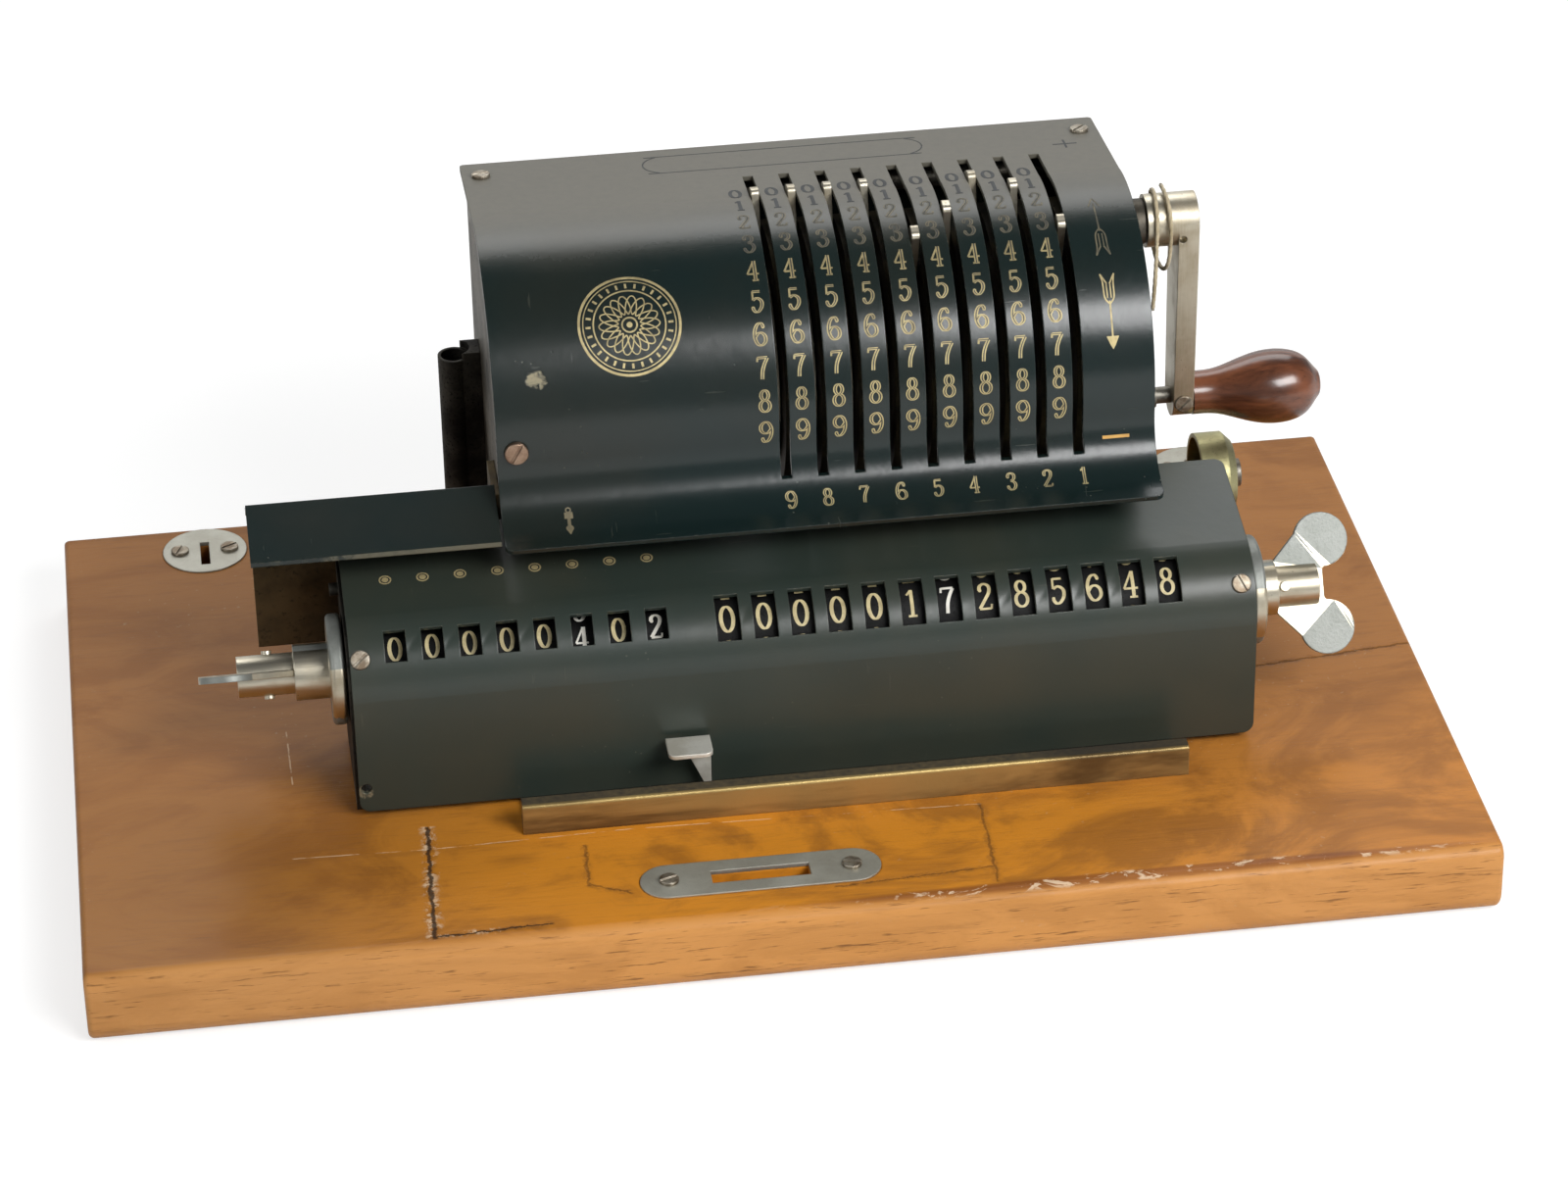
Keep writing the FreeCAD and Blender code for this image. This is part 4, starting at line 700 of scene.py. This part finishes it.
arrow(alongDrum(signs["upTip"]), alongDrum(signs["upTail"]), faded)
arrow(alongDrum(signs["downTip"]), alongDrum(signs["downTail"]))
half, back = arrowShape["barb"]
tip = alongDrum(signs["downTip"])
marks.plate([(-half, tip - back), (half, tip - back), (0, tip)], signPlace)
minus = alongDrum(signs["minus"])
marks.stroke([(u, minus) for u in signs["minusRun"]], signPlace, signs["minusLine"], slot=orange,
             top=signs["minusTop"])
for straight in signs["plus"]:
    marks.stroke(straight, signPlace, signs["plusLine"], slot=dark)

# index mark on the skirt: a ring on a block, a neck and a pointed foot
indexMark = {"x": -50.0, "way": 17.6, "neck": [(0, -2.2), (0, 2.4)], "neckLine": 0.9,
             "block": [(-1.15, 1.0), (1.15, 1.0), (1.15, 2.9), (-1.15, 2.9)],
             "ringUp": 3.5, "ringRadius": 0.62, "ringLine": 0.34, "dotUp": -2.0, "dotRadius": 1.05,
             "foot": [(0, -4.2), (0.95, -2.3), (-0.95, -2.3)]}


def indexPlace(u, v, lift):
    return casingPlace(indexMark["x"] + u, drumRun + indexMark["way"] - v, lift)


marks.stroke(indexMark["neck"], indexPlace, indexMark["neckLine"], slot=faded)
marks.plate(indexMark["block"], indexPlace, faded)
eye = ring(0, indexMark["ringUp"], indexMark["ringRadius"], indexMark["ringRadius"])
marks.stroke(eye, indexPlace, indexMark["ringLine"], None, True, faded)
marks.dot(0, indexMark["dotUp"], indexMark["dotRadius"], indexPlace, faded)
marks.plate(indexMark["foot"], indexPlace, faded)

# ring ornament on the drum; each circle is its radius, its line and its points
rosette = {"x": -30.0, "degrees": 47.5, "hub": 0.8, "spokes": 28, "spoke": (10.45, 11.8), "spokeLine": 0.62,
           "petals": 3, "petalReach": 5.6, "petalWave": 2.6, "waves": 6, "petalLine": 0.34, "petalPoints": 48,
           "circles": [(13.6, 0.7, 36), (12.5, 0.3, 36), (9.7, 0.4, 32), (2.0, 0.45, 12)]}


def rosettePlace(u, v, lift):
    return casingPlace(rosette["x"] + u, alongDrum(rosette["degrees"]) - v, lift)


for radius, line, count in rosette["circles"]:
    marks.stroke(ring(0, 0, radius, radius, count), rosettePlace, line, None, True)
marks.dot(0, 0, rosette["hub"], rosettePlace)
for k in range(rosette["spokes"]):
    turn = k * math.tau / rosette["spokes"]
    way = Vector((math.cos(turn), math.sin(turn)))
    marks.stroke([way * reach for reach in rosette["spoke"]], rosettePlace, rosette["spokeLine"])
for petal in range(rosette["petals"]):
    knot = []
    for k in range(rosette["petalPoints"]):
        t = k * math.tau / rosette["petalPoints"]
        wave = math.cos(rosette["waves"] * t + petal * math.tau / rosette["petals"])
        reach = rosette["petalReach"] + rosette["petalWave"] * wave
        knot.append((reach * math.cos(t), reach * math.sin(t)))
    marks.stroke(knot, rosettePlace, rosette["petalLine"], None, True)

# long oval line on the flat top
oval = {"x": 21.4, "back": 29.2, "half": 39.2, "depth": 6.4, "line": 0.4}


def ovalPlace(u, v, lift):
    return casingPlace(oval["x"] + u, -oval["back"] - v, lift)


loop = []
for side in (1, -1):
    for k in range(9):
        turn = math.radians(-90 * side + k * 22.5)
        reach = (oval["half"] - oval["depth"]) * side
        loop.append((reach + oval["depth"] * math.cos(turn), oval["depth"] * math.sin(turn)))
marks.stroke(loop, ovalPlace, oval["line"], None, True, dark)
marks.make("frame")
print("casing inlay:", len(marks.faces), "faces")

# the counter's sixth wheel stands a little past its digit
registers = {
    "result": {"shown": (0, 0, 0, 0, 0, 1, 7, 2, 8, 5, 6, 4, 8), "x": -10.3, "radius": 15.6, "size": 7.9,
               "readAt": 42.1, "white": (6,), "thin": 0.075, "thick": (0.135,) * 5 + (0.12,) * 8},
    "counter": {"shown": (0, 0, 0, 0, 0, 4.2, 0, 2), "x": -99.4, "radius": 13.6, "size": 7.0,
                "readAt": 41.0, "white": (5, 7), "thin": 0.075, "thick": (0.15,) * 8}}
wheelPitch = 10


def wheelNumerals(name, x, shown, kind, thick, look):
    piece = Inlay(name + "_numerals", [finishes[kind]])
    for digit in range(10):
        middle = look["readAt"] + (shown - digit) * 36.0

        def place(u, v, lift):
            degrees = middle - math.degrees(v / look["radius"])
            return Vector((x + u, *onCircle(shaft["y"], shaft["z"], look["radius"] + lift, degrees))) * mm

        numeral(piece, digit, look["size"], place, look["thin"], thick, bottom=-0.2)
    piece.make(name)


for register, look in registers.items():
    for i, shown in enumerate(look["shown"]):
        kind = "white" if i in look["white"] else "cream"
        name = register + "_wheel_" + str(i + 1)
        wheelNumerals(name, look["x"] + wheelPitch * i, shown, kind, look["thick"][i], look)
print("numeral wheels dressed")

# brass dots on the carriage top, one beside each counter window
topDots = {"x": -100.1, "step": 10.1, "y": -20.8, "radius": 1.5, "line": 0.42, "grooveIn": 0.2, "dotIn": 0.55,
           "slope": 11.0, "fold": 18.4}
dotPiece = Inlay("carriageDots", [finishes["gold"], finishes["groove"]])
joinY, joinZ = onCircle(shaft["y"], shaft["z"], topDots["fold"], topDots["slope"])


def slopePlace(u, v, lift):
    slope = math.radians(topDots["slope"])
    z = joinZ + (v - joinY) * math.tan(slope)
    return Vector((u, v - lift * math.sin(slope), z + lift * math.cos(slope))) * mm


radius = topDots["radius"]
for i in range(8):
    def dotPlace(u, v, lift, dotX=topDots["x"] + topDots["step"] * i):
        return slopePlace(dotX + u, topDots["y"] + v, lift)

    dotPiece.stroke(ring(0, 0, radius, radius, 14), dotPlace, topDots["line"], None, True)
    dotPiece.dot(0, 0, radius - topDots["grooveIn"], dotPlace, 1, 0.02)
    dotPiece.dot(0, 0, radius - topDots["dotIn"], dotPlace, 0, 0.05)
dotPiece.make("carriage")

# the string's line round the crank's hub, from its hanging end, in mm
cordLook = {"radius": 0.65, "x": 120.4, "y": 44.0, "z": 134.8, "wrap": 8.45, "strands": 3, "lay": 5.5,
            "lobe": 0.20}
wrap = cordLook["wrap"]
knee = wrap * math.tan(math.radians(22.5))
cordPlaces = [(0.0, -wrap - 0.4, -wrap - 15.0), (0.2, -wrap - 1.2, -wrap - 8.5),
              (0.6, -wrap - 0.7, -wrap - 1.5), (0.9, -wrap, knee), (1.2, -knee, wrap), (1.6, knee, wrap),
              (2.0, wrap, knee), (2.5, wrap + 0.6, knee - 9.0), (3.1, knee + 2.0, -wrap - 5.2),
              (3.7, -knee, -wrap - 6.0), (4.3, -wrap - 1.2, -wrap - 0.4), (4.7, -wrap - 0.9, knee),
              (4.4, -knee, wrap + 0.7), (4.1, knee, wrap + 0.5)]


def cordLine(name, places):
    curve = bpy.data.curves.new(name, "CURVE")
    curve.dimensions = "3D"
    curve.resolution_u = 10
    spline = curve.splines.new("NURBS")
    spline.points.add(len(places) - 1)
    for point, (dx, dy, dz) in zip(spline.points, places):
        point.co = ((cordLook["x"] + dx) * mm, (cordLook["y"] + dy) * mm, (cordLook["z"] + dz) * mm, 1.0)
    spline.order_u = 3
    spline.use_endpoint_u = True
    piece = bpy.data.objects.new(name, curve)
    bpy.context.scene.collection.objects.link(piece)
    return piece


guide = cordLine("cordGuide", cordPlaces)
bpy.context.view_layer.update()
lineMesh = bpy.data.meshes.new_from_object(guide)
cordPath = [v.co.copy() for v in lineMesh.vertices]
bpy.data.objects.remove(guide)
cordLength = sum((b - a).length for a, b in zip(cordPath, cordPath[1:]))


def twistedCord(name, path, radius, look=cordLook):
    # strands twisted round the line, read as one lobed section that turns along it
    points, faces = [], []
    strands, lobe = look["strands"], look["lobe"]
    sides = 5 * strands
    turn, side = 0.0, None
    for i, here in enumerate(path):
        way = (path[min(i + 1, len(path) - 1)] - path[max(i - 1, 0)]).normalized()
        if side is None:
            side = way.orthogonal().normalized()
        side = (side - way * side.dot(way)).normalized()
        up = way.cross(side)
        if i:
            turn += (here - path[i - 1]).length / (look["lay"] * radius * 2) * math.tau
        for k in range(sides):
            angle = k * math.tau / sides
            reach = radius * (1.0 - lobe + lobe * abs(math.cos(strands * angle / 2)))
            points.append(here + (side * math.cos(angle + turn) + up * math.sin(angle + turn)) * reach)
    for i in range(len(path) - 1):
        for k in range(sides):
            a, b = i * sides + k, i * sides + (k + 1) % sides
            faces.append((a, b, b + sides, a + sides))
    faces.append(tuple(reversed(range(sides))))
    faces.append(tuple(range(len(points) - sides, len(points))))
    mesh = bpy.data.meshes.new(name)
    mesh.from_pydata([tuple(p) for p in points], [], faces)
    mesh.materials.append(finishes["string"])
    for polygon in mesh.polygons:
        polygon.use_smooth = len(polygon.vertices) == 4
    piece = bpy.data.objects.new(name, mesh)
    bpy.context.scene.collection.objects.link(piece)
    fixNormals(piece)
    return piece


cord = twistedCord("hubString", cordPath, cordLook["radius"] * mm)
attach(cord, "crank")
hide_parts("tag_string")
tuple(cordPath[0])
[tuple(p) for p in cordPath]
print("string laid:", round(cordLength * 1000, 1), "mm")

studio = {"floor": (0.80, 0.80, 0.79), "floorReach": 4, "white": 1.45, "whiteShare": 0.45,
          "horizon": (0.15, 0.75), "lowColour": (0.95, 0.98, 1.0, 1.0), "lowLight": 0.30,
          "highColour": (0.90, 0.95, 1.0, 1.0), "highLight": 0.10}
# place, the point each one faces, width, height and power
softboxes = {"backdrop": ((0.0, 1.7, 0.62), (0.0, 0.0, 0.10), 3.0, 0.9, 6.0),
             "topSoftbox": ((0.10, 1.00, 1.15), (0.0, 0.03, 0.08), 1.5, 0.6, 9.5),
             "leftSoftbox": ((-1.25, -0.55, 0.95), (0.0, 0.0, 0.07), 0.9, 0.9, 6.5),
             "frontSoftbox": ((0.70, -1.05, 1.02), (0.0, 0.0, 0.10), 0.95, 0.52, 24.0)}
view = {"lens": 118.3855, "sensor": 36.0, "clip": (0.05, 20.0), "place": (-0.148014, -1.209466, 0.794320),
        "turn": ((0.990113, 0.085747, -0.111016), (-0.139409, 0.513682, -0.846579),
                 (-0.015565, 0.853685, 0.520556))}


def floorFinish():
    f = Finish("paleFloor")
    mottle = f.noise(3.0, 2.0)
    colour = f.mix(mottle, studio["floor"], [c * 1.04 for c in studio["floor"]])
    matt = {"Base Color": colour, "Roughness": 0.9, "Specular IOR Level": 0.1}
    diffuse = f.node("BsdfPrincipled", {}, matt)
    white = f.node("Emission", {}, {"Color": (1.0, 1.0, 1.0, 1.0), "Strength": studio["white"]})
    seen = f.node("LightPath", output="Is Camera Ray") * studio["whiteShare"]
    f.node("OutputMaterial", {}, {"Surface": f.node("MixShader", {}, {0: seen, 1: diffuse, 2: white})})
    return f.owner


floorMesh = bpy.data.meshes.new("floor")
reach = studio["floorReach"]
floorMesh.from_pydata([(-reach, -reach, 0), (reach, -reach, 0), (reach, reach, 0), (-reach, reach, 0)], [],
                      [(0, 1, 2, 3)])
floorMesh.materials.append(floorFinish())
floor = bpy.data.objects.new("floor", floorMesh)
bpy.context.scene.collection.objects.link(floor)

# a room that is pale near the horizon and dark overhead
bpy.context.scene.world = bpy.data.worlds.new("studio")
room = Finish("studio", bpy.context.scene.world)
height = abs(room.node("SeparateXYZ", {}, {0: room.node("TexCoord", output="Generated")}, "Z"))
low = room.node("Background", {}, {"Color": studio["lowColour"], "Strength": studio["lowLight"]})
high = room.node("Background", {}, {"Color": studio["highColour"], "Strength": studio["highLight"]})
white = room.node("Background", {}, {"Color": (1.0, 1.0, 1.0, 1.0), "Strength": 1.0})
air = room.node("MixShader", {}, {0: height.between(*studio["horizon"]), 1: low, 2: high})
seen = room.node("LightPath", output="Is Camera Ray")
room.node("OutputWorld", {}, {"Surface": room.node("MixShader", {}, {0: seen, 1: air, 2: white})})


def softbox(name, place, target, width, height, power):
    lamp = bpy.data.lights.new(name, "AREA")
    lamp.shape = "RECTANGLE"
    lamp.size, lamp.size_y = width, height
    lamp.energy = power
    holder = bpy.data.objects.new(name, lamp)
    holder.location = place
    holder.rotation_euler = (Vector(target) - Vector(place)).to_track_quat("-Z", "Y").to_euler()
    bpy.context.scene.collection.objects.link(holder)


for name, values in softboxes.items():
    softbox(name, *values)

cameraData = bpy.data.cameras.new("camera")
cameraData.lens = view["lens"]
cameraData.sensor_width = view["sensor"]
cameraData.clip_start, cameraData.clip_end = view["clip"]
camera = bpy.data.objects.new("camera", cameraData)
bpy.context.scene.collection.objects.link(camera)
camera.matrix_world = Matrix.Translation(view["place"]) @ Matrix(view["turn"]).to_4x4()
bpy.context.scene.camera = camera
bpy.context.scene.view_settings.view_transform = "Standard"
print("studio set")
